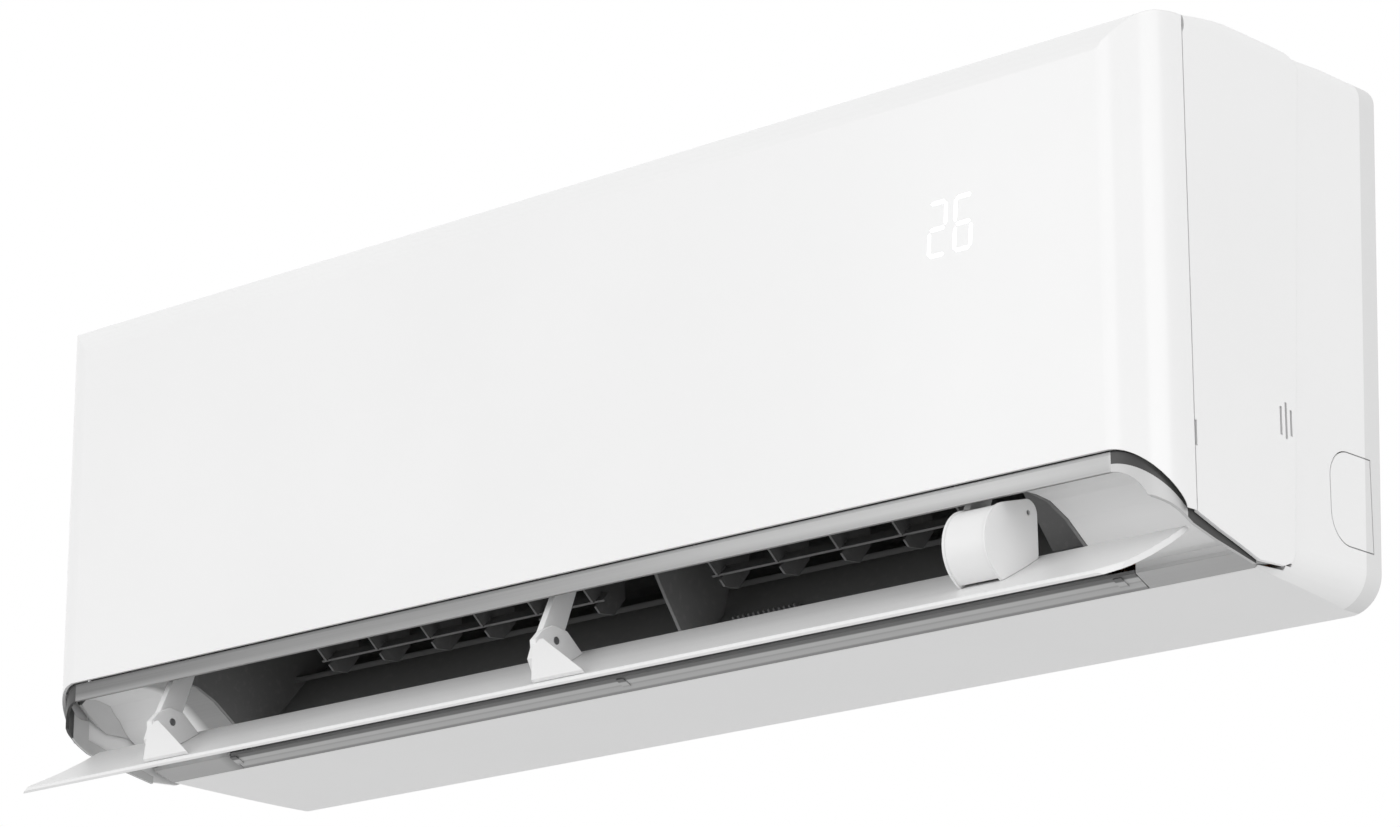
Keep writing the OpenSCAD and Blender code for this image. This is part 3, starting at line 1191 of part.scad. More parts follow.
module terminal_block() color("black") placed() difference() {
    block([box_x0 + box_wall + seat_gap, frame_front + frame_thick + 5 * board_gap, box_z0 + box_wall + seat_gap],
        [box_x0 + box_wall + 6 * board_gap, frame_front + frame_thick + 5 * board_gap + terminal_count * terminal_pitch,
            box_z0 + box_wall + 6 * board_gap]);
    for (i = [0:terminal_count - 1]) translate([box_x0 + box_wall + 3 * board_gap,
        frame_front + frame_thick + 5 * board_gap + (i + 0.5) * terminal_pitch, box_z0 + box_wall + 3 * board_gap])
        cylinder(h = 4 * board_gap, r = board_gap);
}

mounting_plate();
rear_case();
knockout_covers();
front_case();
case_screws();
front_panel();
display_unit();
aux_button();
top_grille();
filter_left();
filter_right();
mouth_trim();
end_land_left();
end_land_right();
outlet_duct();
outlet_sill();
sill_clips();
duct_divider();
ion_comb();
flap();
flap_bracket_left();
flap_bracket_center();
flap_pins();
flap_arm_left();
flap_arm_center();
flap_arm_right();
tilt_housing();
tilt_motor();
arm_shaft();
arm_motor();
vane_left_1();
vane_left_2();
vane_left_3();
vane_left_4();
vane_left_5();
vane_left_6();
vane_right_1();
vane_right_2();
vane_right_3();
vane_right_4();
vane_right_5();
link_left();
link_right();
vane_motors();
crossflow_fan();
fan_shaft();
fan_bearing();
fan_motor();
motor_clamp();
evaporator_fins();
evaporator_tubes();
evaporator_plates();
gas_pipe();
liquid_pipe();
flare_nuts();
drain_tray();
drain_plug();
electrical_box();
main_board();
terminal_block();
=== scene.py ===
"""Dressed pieces, finishes, light and camera of the mini split indoor unit."""
import json
import math

import bmesh
import bpy
from mathutils import Matrix, Vector
from mathutils.bvhtree import BVHTree


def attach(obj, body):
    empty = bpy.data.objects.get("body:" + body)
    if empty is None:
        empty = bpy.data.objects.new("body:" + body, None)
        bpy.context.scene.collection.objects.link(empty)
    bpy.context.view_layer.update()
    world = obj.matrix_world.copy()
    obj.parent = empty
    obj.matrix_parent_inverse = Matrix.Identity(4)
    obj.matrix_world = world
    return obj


bl_info = {
    "name": "Mini split indoor unit",
    "version": (1, 0, 0),
    "blender": (4, 5, 0),
    "location": "3D View > Sidebar > Indoor unit",
    "description": "Dresses the wall unit: shells, flap, outlet, number, finishes, light and camera",
    "category": "Object",
}

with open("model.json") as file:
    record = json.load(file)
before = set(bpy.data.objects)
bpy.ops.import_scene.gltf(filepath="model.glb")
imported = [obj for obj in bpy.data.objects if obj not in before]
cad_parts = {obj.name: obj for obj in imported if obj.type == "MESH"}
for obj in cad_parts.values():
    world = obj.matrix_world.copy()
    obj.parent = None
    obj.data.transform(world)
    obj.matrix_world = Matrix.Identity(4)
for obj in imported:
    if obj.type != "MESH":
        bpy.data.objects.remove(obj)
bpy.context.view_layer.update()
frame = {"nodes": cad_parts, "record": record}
NODES = frame["nodes"]
SLOTS = {part["node"]: part["material_slot"] for part in frame["record"]["subparts"]}
MM = 0.001

# Places on the unit, in the frame's metres
UNDERSIDE = -190 * MM
MOUTH_CORNER = (438.5 * MM, -167.5 * MM)
PLAN_CORNER = (437.5 * MM, -211 * MM)
TRIM_TOP_LINE = UNDERSIDE + 52.7 * MM
TRIM_HEIGHT = 60 * MM
STRIP_END = 439.5 * MM
SKIN_BACK = 30.4 * MM
RECESS_FRONT = -222 * MM
SILL_FRONT = -148.6 * MM
SILL_DEPTH = 15 * MM
LEFT_CHEEK = (-398 * MM, -364 * MM)
REAR_LEAN = 15.6 / 330
REAR_FOOT = -18 * MM
REAR_BAND = 15.5 * MM
REAR_ENDS = 450 * MM
BAR_FRONT = -150 * MM
BAR_TOP = UNDERSIDE + 85 * MM
BAR_HALF = 440 * MM

# Radii of the ellipse that the dark end band of the strip leaves free
BAND_OUT = 30 * MM
BAND_UP = 25 * MM

# Grey levels in linear light along a surface, as pairs of place and level: painted light, the painted sheen
# of the strip and the painted shade of the land and the sill
STRIP_PAINTED_SHEEN = [(-0.43, 0.155), (-0.25, 0.22), (-0.05, 0.25), (0.05, 0.29), (0.15, 0.345), (0.35, 0.37),
                (0.43, 0.32)]
LAND_PAINTED_SHADE = [(0.0, 0.4), (0.2, 0.44), (0.36, 0.72), (0.6, 0.82), (1.0, 0.82)]
SILL_PAINTED_SHADE = [(0.0, 0.13), (0.2, 0.13), (0.27, 0.5), (0.43, 0.5), (0.49, 0.36), (0.56, 0.46), (0.76, 0.48),
               (0.84, 0.27), (1.0, 0.27)]

# Noise scales, per metre: broad flow, cloudy gloss, spark grain
FLOW = 7
HAZE = 30
GRAIN = 2600

# Depth of the spark grain of the white casing, in metres, and how far brushed lines tint a colour
CASING_GRAIN = 0.000012
BRUSH_SHARE = 0.08

# Edges that turn more than this stay sharp
SHARP_FROM = math.radians(24)

# The number: its lit bars, where its figures start, and how its film lies before the panel
LIT_BARS = {"2": "abged", "6": "afgedc"}
FIGURES = [("2", 314 * MM), ("6", 333 * MM)]
NUMBER_FOOT = 3 * MM
SLANT = 0.06
FILM_THICK = 0.06 * MM
FILM_LIFT = 0.08 * MM
BEFORE_PANEL = -400 * MM

# Stage in metres: floor, soft lamps with their places and sizes, and the camera at the photograph's angle
FLOOR_HALF = 9
FLOOR_DOWN = 2.6
GROUND_LEVEL = 0.4
LAMPS = [("key", (-0.9, -3.6, 0.5), 2.6), ("side", (3.8, -1.0, 0.4), 2.4)]
LAMP_AIM = Vector((0, -0.12, 0))
CAMERA_PLACE = (1.8301, -2.1204, -0.787)
CAMERA_AZIMUTH = math.radians(42.08)
CAMERA_RISE = math.radians(16.15)
CAMERA_REACH = 60


# Colours
def linear(level):
    """Linear light of an sRGB grey between 0 and 1."""
    return level / 12.92 if level <= 0.04045 else ((level + 0.055) / 1.055) ** 2.4


def grey(level):
    """Linear colour of an sRGB grey between 0 and 255."""
    value = linear(level / 255)
    return (value, value, value)


def shade(colour, factor):
    """The same colour, lighter or darker."""
    return tuple(min(1.0, c * factor) for c in colour[:3]) + (1.0,)


def tone(level):
    """A grey of a level in linear light."""
    return (level, level, level, 1.0)


# Shader maths
class Signal:
    """What comes out of a socket, so that maths on it is written as plain Python."""

    def __init__(self, finish, socket):
        self.finish = finish
        self.socket = socket

    def maths(self, operation, first, second=None):
        return self.finish.node("ShaderNodeMath", {"operation": operation}, {0: first, 1: second})

    def __add__(self, other):
        return self.maths("ADD", self, other)

    def __sub__(self, other):
        return self.maths("SUBTRACT", self, other)

    def __rsub__(self, other):
        return self.maths("SUBTRACT", other, self)

    def __mul__(self, other):
        return self.maths("MULTIPLY", self, other)

    def __truediv__(self, other):
        return self.maths("DIVIDE", self, other)

    def __lt__(self, other):
        return self.maths("LESS_THAN", self, other)

    def __gt__(self, other):
        return self.maths("GREATER_THAN", self, other)

    __radd__ = __add__
    __rmul__ = __mul__

    def fraction(self):
        return self.maths("FRACT", self)

    def distance(self):
        return self.maths("ABSOLUTE", self)

    def highest(self, other):
        return self.maths("MAXIMUM", self, other)

    def squared(self):
        return self.maths("MULTIPLY", self, self)


class Finish:
    """The nodes of a new material, or of a world that is given."""

    def __init__(self, name, world=None):
        self.owner = world or bpy.data.materials.new(name)
        self.owner.use_nodes = True
        self.tree = self.owner.node_tree
        self.tree.nodes.clear()

    def node(self, kind, settings, inputs, output=0):
        """Adds a node of a kind, its settings first, then values or links, and gives one output."""
        made = self.tree.nodes.new(kind)
        for name, value in settings.items():
            if name == "stops":
                ramp = made.color_ramp
                for place, level in value[1:-1]:
                    ramp.elements.new(place).color = tone(level)
                for i in (0, -1):
                    ramp.elements[i].position = value[i][0]
                    ramp.elements[i].color = tone(value[i][1])
            else:
                setattr(made, name, value)
        for name, value in inputs.items():
            if isinstance(value, Signal):
                self.tree.links.new(value.socket, made.inputs[name])
            elif value is not None:
                made.inputs[name].default_value = value
        return Signal(self, made.outputs[output]) if made.outputs else None

    def place(self):
        """The point of the piece, in metres."""
        return self.node("ShaderNodeTexCoord", {}, {}, "Object")

    def axes(self):
        """The three parts of that point."""
        split = self.node("ShaderNodeSeparateXYZ", {}, {0: self.place()})
        outputs = split.socket.node.outputs
        return [Signal(self, outputs[i]) for i in range(3)]

    def stretched(self, scale):
        return self.node("ShaderNodeVectorMath", {"operation": "MULTIPLY"}, {0: self.place(), 1: scale})

    def noise(self, per_metre, detail=2.0, at=None):
        return self.node("ShaderNodeTexNoise", {}, {
            "Vector": at or self.place(), "Scale": per_metre, "Detail": detail})

    def brushed(self):
        """Fine lines along the width."""
        return self.noise(1.0, 2, self.stretched((6, 900, 900)))

    def ramp(self, value, stops):
        return self.node("ShaderNodeValToRGB", {"stops": stops}, {0: value})

    def mix(self, mask, first, second):
        return self.node("ShaderNodeMix", {"data_type": "RGBA"}, {0: mask, 6: first, 7: second}, 2)

    def bump(self, height, depth, normal=None):
        return self.node("ShaderNodeBump", {}, {
            "Height": height, "Distance": depth, "Strength": 1.0, "Normal": normal})

    def rounded(self, radius):
        return self.node("ShaderNodeBevel", {"samples": 4}, {"Radius": radius})

    def surface(self, **inputs):
        """Closes the material with a principled shader."""
        named = {name.replace("_", " "): value for name, value in inputs.items()}
        shader = self.node("ShaderNodeBsdfPrincipled", {}, named)
        self.node("ShaderNodeOutputMaterial", {}, {"Surface": shader})
        return self.owner


# Finishes
def moulded(name, colour, rough=0.4, grain=0.00001, mottle=0.02, edge=0.5 * MM, coat=0.0, dust=0.0,
            shade_mask=None, painted_shade=None):
    """Injection moulded plastic: spark grain, flow mottle, soft edges, maybe a region of painted shade."""
    made = Finish(name)
    base = made.mix(made.noise(FLOW, 3), shade(colour, 1 - mottle), shade(colour, 1 + mottle))
    if dust:
        specks = made.ramp(made.noise(220, 4), [(0.55, 0), (0.75, 1)])
        base = made.mix(specks * dust, base, (0.45, 0.44, 0.42, 1))
    # painted shade on a region of the piece
    if shade_mask:
        base = made.mix(shade_mask(*made.axes()), base, painted_shade)
    return made.surface(
        Base_Color=base, Roughness=rough - 0.04 + 0.08 * made.noise(HAZE, 2), IOR=1.46, Coat_Weight=coat,
        Coat_Roughness=0.12, Normal=made.bump(made.noise(GRAIN, 2), grain, made.rounded(edge)))


def rear_chamfer_shade(x, y, z):
    """Band of painted shade along the leaning rear edges of both sides."""
    back = (z - UNDERSIDE) * REAR_LEAN + REAR_FOOT
    return (y > back - REAR_BAND) * (x.distance() > REAR_ENDS)


def mouth_bar_shade(x, y, z):
    """Bar of the front case that lies behind the mouth, given the duct's dark colour as painted shade."""
    return (y > BAR_FRONT) * (z < BAR_TOP) * (x.distance() < BAR_HALF)


def mouth_strip(name, low_level=0.28, end_level=0.045, wall_level=0.56):
    """Satin strip with a painted sheen that changes along the mouth, a top seam darkened with painted
    shade, and dark round ends.
    """
    made = Finish(name)
    x, y, z = made.axes()
    # painted reflection: the sheen of the satin along the mouth is painted into the base colour
    painted_sheen = made.ramp(x + 0.5, [(place + 0.5, level) for place, level in STRIP_PAINTED_SHEEN])
    low = made.ramp((z - UNDERSIDE) / TRIM_HEIGHT, [(0.74, 1), (0.8, 0)])
    base = made.mix(low, painted_sheen, tone(low_level))
    # the top seam line is darkened: a dark joint with painted shade along it
    base = made.mix((z > TRIM_TOP_LINE) * 0.3, base, tone(0.1))
    brushed = made.brushed()
    base = made.mix(brushed * BRUSH_SHARE, base, tone(0.9))
    # the dark band narrows towards the tips of the right end, and rings the left end
    out = (x.distance() - MOUTH_CORNER[0]).highest(0)
    up = (z - MOUTH_CORNER[1]).highest(0)
    outside = (out / BAND_OUT).squared() + (up / BAND_UP).squared() > 1
    # the recess wall behind the skin of the strip is light, but for its front edge
    aside = (x.distance() - PLAN_CORNER[0]).highest(0)
    before = (PLAN_CORNER[1] - y).highest(0)
    recess = (aside.squared() + before.squared() < SKIN_BACK * SKIN_BACK) * (y > RECESS_FRONT)
    dark = outside.highest(x < 0) * (1 - recess)
    ends = x.distance() > STRIP_END
    base = made.mix(ends, base, made.mix(dark, tone(wall_level), tone(end_level)))
    return made.surface(
        Base_Color=base, Metallic=0.6 - 0.5 * ends, Roughness=0.32 + 0.08 * brushed + 0.1 * ends,
        Normal=made.bump(brushed, 0.000005, made.rounded(0.0004)))


def recess_land(name, cheek_shade_level=0.26):
    """Satin recess surface with painted shade: darker towards the sill and beside the left cheek."""
    made = Finish(name)
    x, y, z = made.axes()
    # painted shade: the land gets darker towards the sill
    base = made.ramp((z - UNDERSIDE) / TRIM_HEIGHT, LAND_PAINTED_SHADE)
    # painted shade beside the left cheek
    start, end = LEFT_CHEEK
    painted_cheek_shade = made.ramp((x - start) / (end - start), [(0.0, 0), (0.3, 1)]) * (x < 0)
    base = made.mix(painted_cheek_shade, base, tone(cheek_shade_level))
    brushed = made.brushed()
    base = made.mix(brushed * BRUSH_SHARE, base, tone(0.9))
    return made.surface(
        Base_Color=base, Metallic=0.12 + 0.05 * brushed, Roughness=0.38 + 0.08 * brushed,
        Normal=made.bump(brushed, 0.000006, made.rounded(0.0004)))


def sill_strip(name):
    """Lip strip under the mouth with a painted shadow of the flap along its front edge, and fine grooves
    darkened with painted shade.
    """
    made = Finish(name)
    # painted shade: a dark band where the flap's shadow falls on the front edge, and dark lines in the
    # grooves
    level = made.ramp((made.axes()[1] - SILL_FRONT) / SILL_DEPTH, SILL_PAINTED_SHADE)
    base = made.mix(made.noise(60, 2) * 0.1, level, tone(0.3))
    return made.surface(
        Base_Color=base, Roughness=0.38 + 0.08 * made.noise(40, 2),
        Normal=made.bump(level, 0.0002, made.rounded(0.0003)))


def sheet_steel(name, colour=(0.52, 0.53, 0.54), rough=0.38, spangle=120):
    """Zinc coated sheet with its crystal pattern."""
    made = Finish(name)
    crystals = made.node("ShaderNodeTexVoronoi", {}, {"Vector": made.place(), "Scale": spangle}, "Color")
    level = made.node("ShaderNodeRGBToBW", {}, {0: crystals})
    base = made.mix(level, shade(colour, 0.82), shade(colour, 1.12))
    return made.surface(
        Base_Color=base, Metallic=0.9, Roughness=rough - 0.06 + 0.14 * level,
        Normal=made.bump(made.noise(900, 2), 0.00001, made.rounded(0.0003)))


def drawn_copper(name):
    """Copper tube with dull patches."""
    made = Finish(name)
    dull = made.ramp(made.noise(45, 4), [(0.4, 0), (0.68, 1)])
    base = made.mix(dull, (0.78, 0.36, 0.2, 1), (0.42, 0.2, 0.12, 1))
    return made.surface(
        Base_Color=base, Metallic=0.95, Roughness=0.24 + 0.3 * dull,
        Normal=made.bump(made.noise(700, 2), 0.000012))


def turned_brass(name):
    """Turned brass with tool lines."""
    made = Finish(name)
    lines = made.noise(1.0, 2, made.stretched((2600, 60, 60)))
    base = made.mix(lines, (0.66, 0.47, 0.18, 1), (0.8, 0.6, 0.28, 1))
    return made.surface(Base_Color=base, Metallic=1.0, Roughness=0.22 + 0.16 * lines,
                        Normal=made.bump(lines, 0.00001, made.rounded(0.0003)))


def fin_pack(name, pitch=1.4 * MM):
    """Edges of thin aluminium sheets, side by side across the width, with painted shade in the gaps between
    them.
    """
    made = Finish(name)
    x = made.axes()[0]
    fin_and_gap_shade = ((x / pitch).fraction() - 0.5).distance() * 2
    bent = made.noise(60, 3)
    # painted shade: dark stripes between the sheet edges
    base = made.mix(fin_and_gap_shade, (0.16, 0.17, 0.18, 1), (0.74, 0.76, 0.78, 1))
    base = made.mix(bent * 0.25, base, (0.5, 0.53, 0.56, 1))
    return made.surface(Base_Color=base, Metallic=0.7, Roughness=0.34 + 0.2 * bent,
                        Normal=made.bump(fin_and_gap_shade, 0.0005))


def woven_filter(name, pitch=1.3 * MM):
    """Fine net between moulded ribs: threads with small squares between them painted dark, as painted shade
    in place of openings.
    """
    made = Finish(name)
    x, y, z = made.axes()
    across = ((x / pitch).fraction() - 0.5).distance()
    along = (((y + z) / pitch).fraction() - 0.5).distance()
    thread = across.highest(along)
    lit = made.ramp(thread, [(0.34, 0), (0.42, 1)])
    # painted shade: the squares between the threads are dark, as the shade behind open squares would be
    base = made.mix(lit, (0.1, 0.12, 0.15, 1), (0.3, 0.36, 0.44, 1))
    return made.surface(Base_Color=base, Roughness=0.5 + 0.1 * made.noise(300, 2),
                        Normal=made.bump(lit, 0.0002))


def circuit_board(name, pitch=2.6 * MM):
    """Green lacquered board with copper runs under the lacquer."""
    made = Finish(name)
    runs = ((made.noise(60, 1) * 0.004 + made.axes()[0]) / pitch).fraction()
    lit = made.ramp(runs, [(0.42, 0), (0.5, 1), (0.58, 0)])
    base = made.mix(lit, (0.01, 0.09, 0.035, 1), (0.03, 0.2, 0.08, 1))
    return made.surface(Base_Color=base, Roughness=0.28 + 0.1 * made.noise(90, 2),
                        Normal=made.bump(lit, 0.00003, made.rounded(0.0002)))


def black_rubber(name):
    """Soft black rubber."""
    made = Finish(name)
    bloom = made.noise(60, 3)
    base = made.mix(bloom, (0.012, 0.012, 0.012, 1), (0.035, 0.035, 0.036, 1))
    return made.surface(Base_Color=base, Roughness=0.62 + 0.16 * bloom,
                        Normal=made.bump(made.noise(1400, 2), 0.00002, made.rounded(0.0006)))


def glowing(name, level=1.0):
    """Number segments: lit film just under the lacquer."""
    made = Finish(name)
    soft = made.noise(260, 2)
    base = made.mix(soft, (0.9, 0.92, 0.95, 1), (1, 1, 1, 1))
    lit = made.mix(soft, (0.55, 0.56, 0.58, 1), (0.7, 0.7, 0.7, 1))
    return made.surface(Base_Color=base, Roughness=0.35 + 0.05 * soft, Emission_Color=lit,
                        Emission_Strength=level)


# Properties
class IndoorUnitShell(bpy.types.PropertyGroup):
    """White shells and the number on the front."""
    white: bpy.props.FloatVectorProperty(
        name="Shell white", description="Colour of the front, wings and rear casing",
        default=grey(240), size=3, subtype="COLOR", min=0, max=1)
    gloss: bpy.props.FloatProperty(
        name="Panel roughness", description="Roughness of the lacquered front panel",
        default=0.3, min=0.05, max=1)
    digit_width: bpy.props.FloatProperty(
        name="Digit width", description="Width of one digit of the number",
        default=14 * MM, unit="LENGTH", min=0.005)
    digit_height: bpy.props.FloatProperty(
        name="Digit height", description="Height of the digits of the number",
        default=34 * MM, unit="LENGTH", min=0.01)
    segment: bpy.props.FloatProperty(
        name="Segment width", description="Width of one lit segment",
        default=2.2 * MM, unit="LENGTH", min=0.0005)


class IndoorUnitOutlet(bpy.types.PropertyGroup):
    """Outlet and flap colours."""
    duct: bpy.props.FloatVectorProperty(
        name="Duct", description="Colour of the dark outlet duct",
        default=grey(116), size=3, subtype="COLOR", min=0, max=1)
    vanes: bpy.props.FloatVectorProperty(
        name="Vanes", description="Colour of the upright vanes and their link bars",
        default=grey(96), size=3, subtype="COLOR", min=0, max=1)
    flap: bpy.props.FloatVectorProperty(
        name="Flap", description="Colour of the flap, its arms and housing",
        default=grey(236), size=3, subtype="COLOR", min=0, max=1)


class IndoorUnitStage(bpy.types.PropertyGroup):
    """Camera and light."""
    lens: bpy.props.FloatProperty(
        name="Lens", description="Focal length of the camera",
        default=112.4, unit="CAMERA", min=10)
    sky: bpy.props.FloatProperty(
        name="Sky level", description="Strength of the light from above",
        default=0.8, min=0)
    key: bpy.props.FloatProperty(
        name="Key level", description="Power of each large soft lamp",
        default=40, unit="POWER", min=0)


def settings():
    scene = bpy.context.scene
    return scene.unit_shell, scene.unit_outlet, scene.unit_stage


# Meshes
def new_piece(name, mesh, body, finish):
    """Adds a mesh as a piece that rides on a body."""
    piece = bpy.data.objects.new(name, mesh)
    bpy.context.scene.collection.objects.link(piece)
    mesh.materials.clear()
    mesh.materials.append(finish)
    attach(piece, body)


def paint(nodes, finish):
    """Gives CAD nodes a finish and soft shading on their curved faces."""
    for name in nodes:
        mesh = NODES[name].data
        mesh.materials.clear()
        mesh.materials.append(finish)
        mesh.shade_smooth()
        mesh.set_sharp_from_angle(angle=SHARP_FROM)


def nodes_in(slot):
    """The CAD nodes whose row in the record names a material slot."""
    return [node for node, name in SLOTS.items() if name == slot]


# Operators
class INDOOR_OT_finishes(bpy.types.Operator):
    """Gives every carried-over piece its finish"""
    bl_idname = "indoor.finishes"
    bl_label = "Finishes"

    def execute(self, context):
        shell, outlet, _ = settings()
        white = tuple(shell.white)
        finishes = {
            "casing_white": moulded("casing_white", white, 0.38, CASING_GRAIN),
            "panel_white": moulded("panel_white", white, shell.gloss, 0.000004, coat=0.25),
            "inner_plastic": moulded("inner_plastic", grey(222), 0.45),
            "filter_mesh": woven_filter("filter_mesh"),
            "satin_trim": mouth_strip("satin_trim"),
            "satin_land": recess_land("satin_land"),
            "duct_plastic": moulded("duct_plastic", outlet.duct, 0.5, 0.00002, dust=0.12),
            "sill_grey": sill_strip("sill_grey"),
            "flap_white": moulded("flap_white", outlet.flap, 0.42, CASING_GRAIN),
            "vane_plastic": moulded("vane_plastic", outlet.vanes, 0.45, dust=0.1),
            "fan_plastic": moulded("fan_plastic", grey(70), 0.45, dust=0.2),
            "steel": sheet_steel("steel"),
            "motor_shell": sheet_steel("motor_shell", (0.4, 0.41, 0.42), 0.42, 60),
            "rubber_black": black_rubber("rubber_black"),
            "fin_aluminium": fin_pack("fin_aluminium"),
            "copper": drawn_copper("copper"),
            "nut_brass": turned_brass("nut_brass"),
            "board_green": circuit_board("board_green"),
            "terminal_black": moulded("terminal_black", grey(48), 0.5),
            "display": moulded("display", grey(60), 0.3),
        }
        for slot, finish in finishes.items():
            paint(nodes_in(slot), finish)
        # painted shade: the band along the rear edges is a darker copy of the white
        paint(["rear_case", "knockout_covers"], moulded(
            "rear_white", white, 0.38, CASING_GRAIN, shade_mask=rear_chamfer_shade, painted_shade=shade(white, 0.84)))
        # painted shade: the bar deep behind the mouth takes the duct's dark colour
        paint(["front_case"], moulded(
            "front_white", white, 0.38, CASING_GRAIN, shade_mask=mouth_bar_shade, painted_shade=shade(outlet.duct, 1)))
        return {"FINISHED"}


def digit_bars(w, h, s):
    """The seven bars of a figure: a, g, d across from top to foot, f, e on the left, b, c on the right."""
    middle = h / 2
    return {
        "a": ((0, h - s), (w, h)), "g": ((0, middle - s / 2), (w, middle + s / 2)), "d": ((0, 0), (w, s)),
        "f": ((0, middle), (s, h)), "e": ((0, 0), (s, middle)),
        "b": ((w - s, middle), (w, h)), "c": ((w - s, 0), (w, middle))}


def bar_outline(low, high, width):
    """Six corners of one bar with pointed ends, in the plane of the number."""
    (x0, z0), (x1, z1) = low, high
    half = width / 2
    end = half + 0.25 * width
    if x1 - x0 > z1 - z0:
        x0, x1 = x0 + end, x1 - end
        mid = (z0 + z1) / 2
        return [(x0, mid), (x0 + half, z1), (x1 - half, z1), (x1, mid), (x1 - half, z0), (x0 + half, z0)]
    z0, z1 = z0 + end, z1 - end
    mid = (x0 + x1) / 2
    return [(mid, z0), (x1, z0 + half), (x1, z1 - half), (mid, z1), (x0, z1 - half), (x0, z0 + half)]


def on_panel(tree, x, z):
    """The point of the number's film in front of a place on the front panel."""
    hit = tree.ray_cast(Vector((x, BEFORE_PANEL, z)), Vector((0, 1, 0)))[0]
    if hit is None:
        raise RuntimeError("the number lies outside the front panel")
    return hit - Vector((0, FILM_LIFT, 0))


class INDOOR_OT_number(bpy.types.Operator):
    """Adds the lit number that shows through the front panel"""
    bl_idname = "indoor.number"
    bl_label = "Number"

    def execute(self, context):
        shell = settings()[0]
        panel = NODES["front_panel"].data
        tree = BVHTree.FromPolygons([v.co for v in panel.vertices], [p.vertices for p in panel.polygons])
        bars = digit_bars(shell.digit_width, shell.digit_height, shell.segment)
        shape = bmesh.new()
        for figure, left in FIGURES:
            for letter in LIT_BARS[figure]:
                outline = bar_outline(*bars[letter], shell.segment)
                shape.faces.new([shape.verts.new(on_panel(tree, left + x + SLANT * z, NUMBER_FOOT + z))
                                 for x, z in outline])
        bmesh.ops.solidify(shape, geom=shape.faces[:], thickness=FILM_THICK)
        bmesh.ops.recalc_face_normals(shape, faces=shape.faces[:])
        mesh = bpy.data.meshes.new("number_segments")
        shape.to_mesh(mesh)
        shape.free()
        new_piece("number_segments", mesh, "panel", glowing("number_glow"))
        return {"FINISHED"}


def paper_floor(scene):
    """Wide pale floor far below the unit."""
    mesh = bpy.data.meshes.new("stage_floor")
    shape = bmesh.new()
    bmesh.ops.create_grid(shape, x_segments=8, y_segments=8, size=FLOOR_HALF)
    shape.to_mesh(mesh)
    shape.free()
    floor = bpy.data.objects.new("stage_floor", mesh)
    floor.location = (0, 0, -FLOOR_DOWN)
    scene.collection.objects.link(floor)
    made = Finish("stage_floor")
    paper = made.mix(made.noise(3, 2), tone(0.8), tone(0.86))
    mesh.materials.append(made.surface(Base_Color=paper, Roughness=0.9 + 0.05 * made.noise(8, 2)))


def studio_sky(scene, top_level):
    """White to the camera and in reflections, and a soft light that is weaker from below."""
    world = bpy.data.worlds.new("studio")
    scene.world = world
    sky = Finish("studio", world)
    direction = sky.node("ShaderNodeTexCoord", {}, {}, "Generated")
    up = sky.node("ShaderNodeSeparateXYZ", {}, {0: direction}, 2)
    height = sky.node("ShaderNodeMapRange", {}, {0: up, 1: -1.0, 2: 1.0, 3: GROUND_LEVEL, 4: top_level})
    rays = sky.node("ShaderNodeLightPath", {}, {}).socket.node.outputs
    seen = Signal(sky, rays["Is Camera Ray"])
    for kind in ("Is Glossy Ray", "Is Transmission Ray"):
        seen = seen.highest(Signal(sky, rays[kind]))
    level = height + seen * (1 - height)
    light = sky.node("ShaderNodeBackground", {}, {"Color": tone(1.0), "Strength": level})
    sky.node("ShaderNodeOutputWorld", {}, {"Surface": light})


def aimed(scene, data, place, ahead):
    """Puts a lamp or a camera in the scene, looking along a direction."""
    holder = bpy.data.objects.new(data.name, data)
    holder.location = place
    holder.rotation_euler = ahead.to_track_quat("-Z", "Y").to_euler()
    scene.collection.objects.link(holder)
    return holder


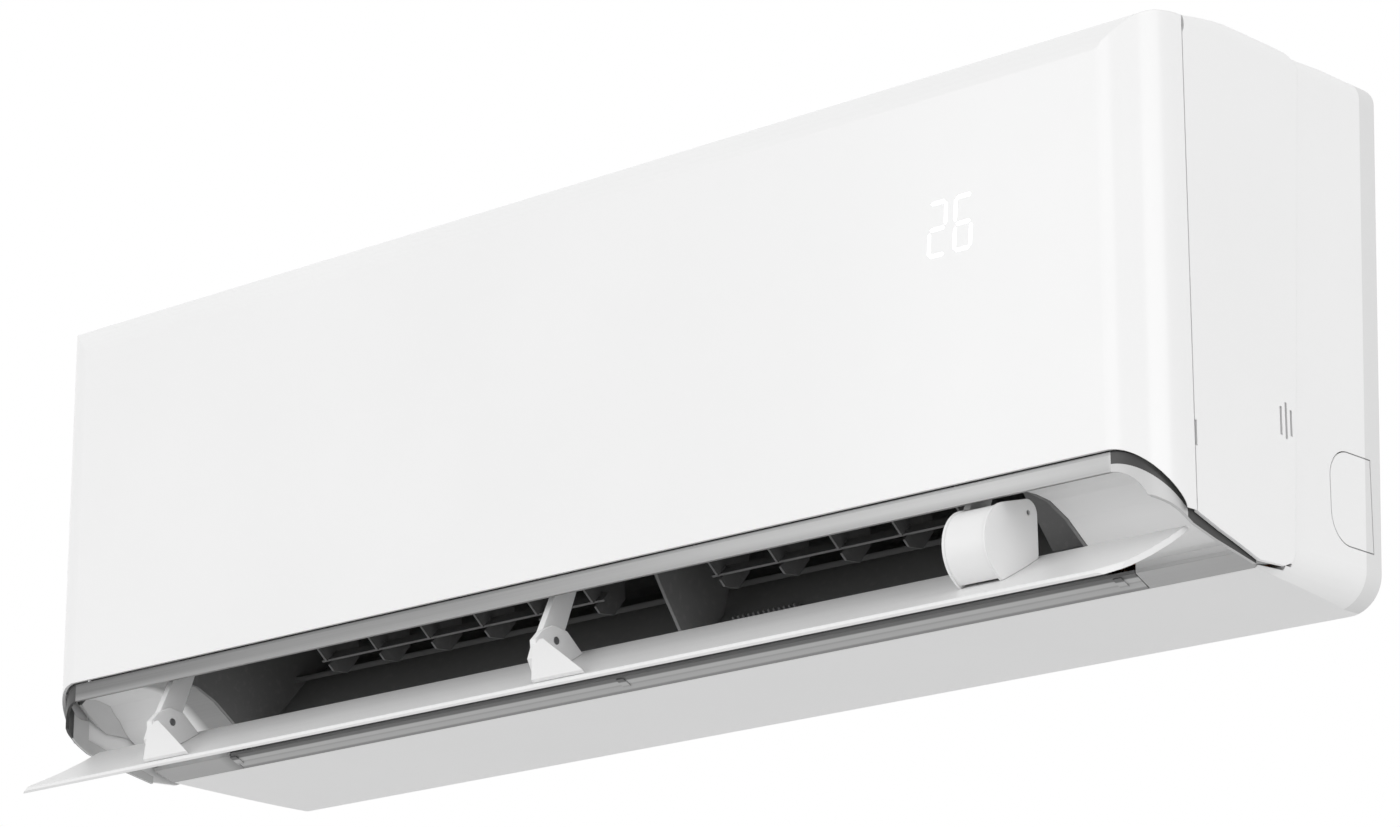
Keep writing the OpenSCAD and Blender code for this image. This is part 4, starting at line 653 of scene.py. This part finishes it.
class INDOOR_OT_stage(bpy.types.Operator):
    """Sets the floor, the light and the camera"""
    bl_idname = "indoor.stage"
    bl_label = "Stage"

    def execute(self, context):
        stage = settings()[2]
        scene = context.scene
        paper_floor(scene)
        studio_sky(scene, stage.sky)
        for name, place, size in LAMPS:
            lamp = bpy.data.lights.new(name, "AREA")
            lamp.shape = "SQUARE"
            lamp.size = size
            lamp.energy = stage.key
            aimed(scene, lamp, place, LAMP_AIM - Vector(place))
        camera = bpy.data.cameras.new("photo_camera")
        camera.sensor_width = 36
        camera.lens = stage.lens
        camera.clip_end = CAMERA_REACH
        turn = Matrix.Rotation(CAMERA_AZIMUTH, 3, "Z")
        ahead = turn @ Vector((0, math.cos(CAMERA_RISE), math.sin(CAMERA_RISE)))
        scene.camera = aimed(scene, camera, CAMERA_PLACE, ahead)
        scene.view_settings.view_transform = "Standard"
        return {"FINISHED"}


STEPS = [INDOOR_OT_finishes, INDOOR_OT_number, INDOOR_OT_stage]


class INDOOR_PT_panel(bpy.types.Panel):
    """Steps that dress the unit, in order"""
    bl_idname = "INDOOR_PT_panel"
    bl_label = "Indoor unit"
    bl_space_type = "VIEW_3D"
    bl_region_type = "UI"
    bl_category = "Indoor unit"

    def draw(self, context):
        for step in STEPS:
            self.layout.operator(step.bl_idname)
        for group in settings():
            box = self.layout.box()
            for name in group.bl_rna.properties.keys():
                if name not in ("rna_type", "name"):
                    box.prop(group, name)


GROUPS = {"unit_shell": IndoorUnitShell, "unit_outlet": IndoorUnitOutlet, "unit_stage": IndoorUnitStage}


def register():
    for kind in [*GROUPS.values(), *STEPS, INDOOR_PT_panel]:
        bpy.utils.register_class(kind)
    for name, kind in GROUPS.items():
        setattr(bpy.types.Scene, name, bpy.props.PointerProperty(type=kind))


def unregister():
    for name in GROUPS:
        delattr(bpy.types.Scene, name)
    for kind in reversed([*GROUPS.values(), *STEPS, INDOOR_PT_panel]):
        bpy.utils.unregister_class(kind)


def main():
    """Dresses the frame."""
    register()
    for step in STEPS:
        group, name = step.bl_idname.split(".")
        getattr(getattr(bpy.ops, group), name)()


if __name__ == "__main__":
    main()
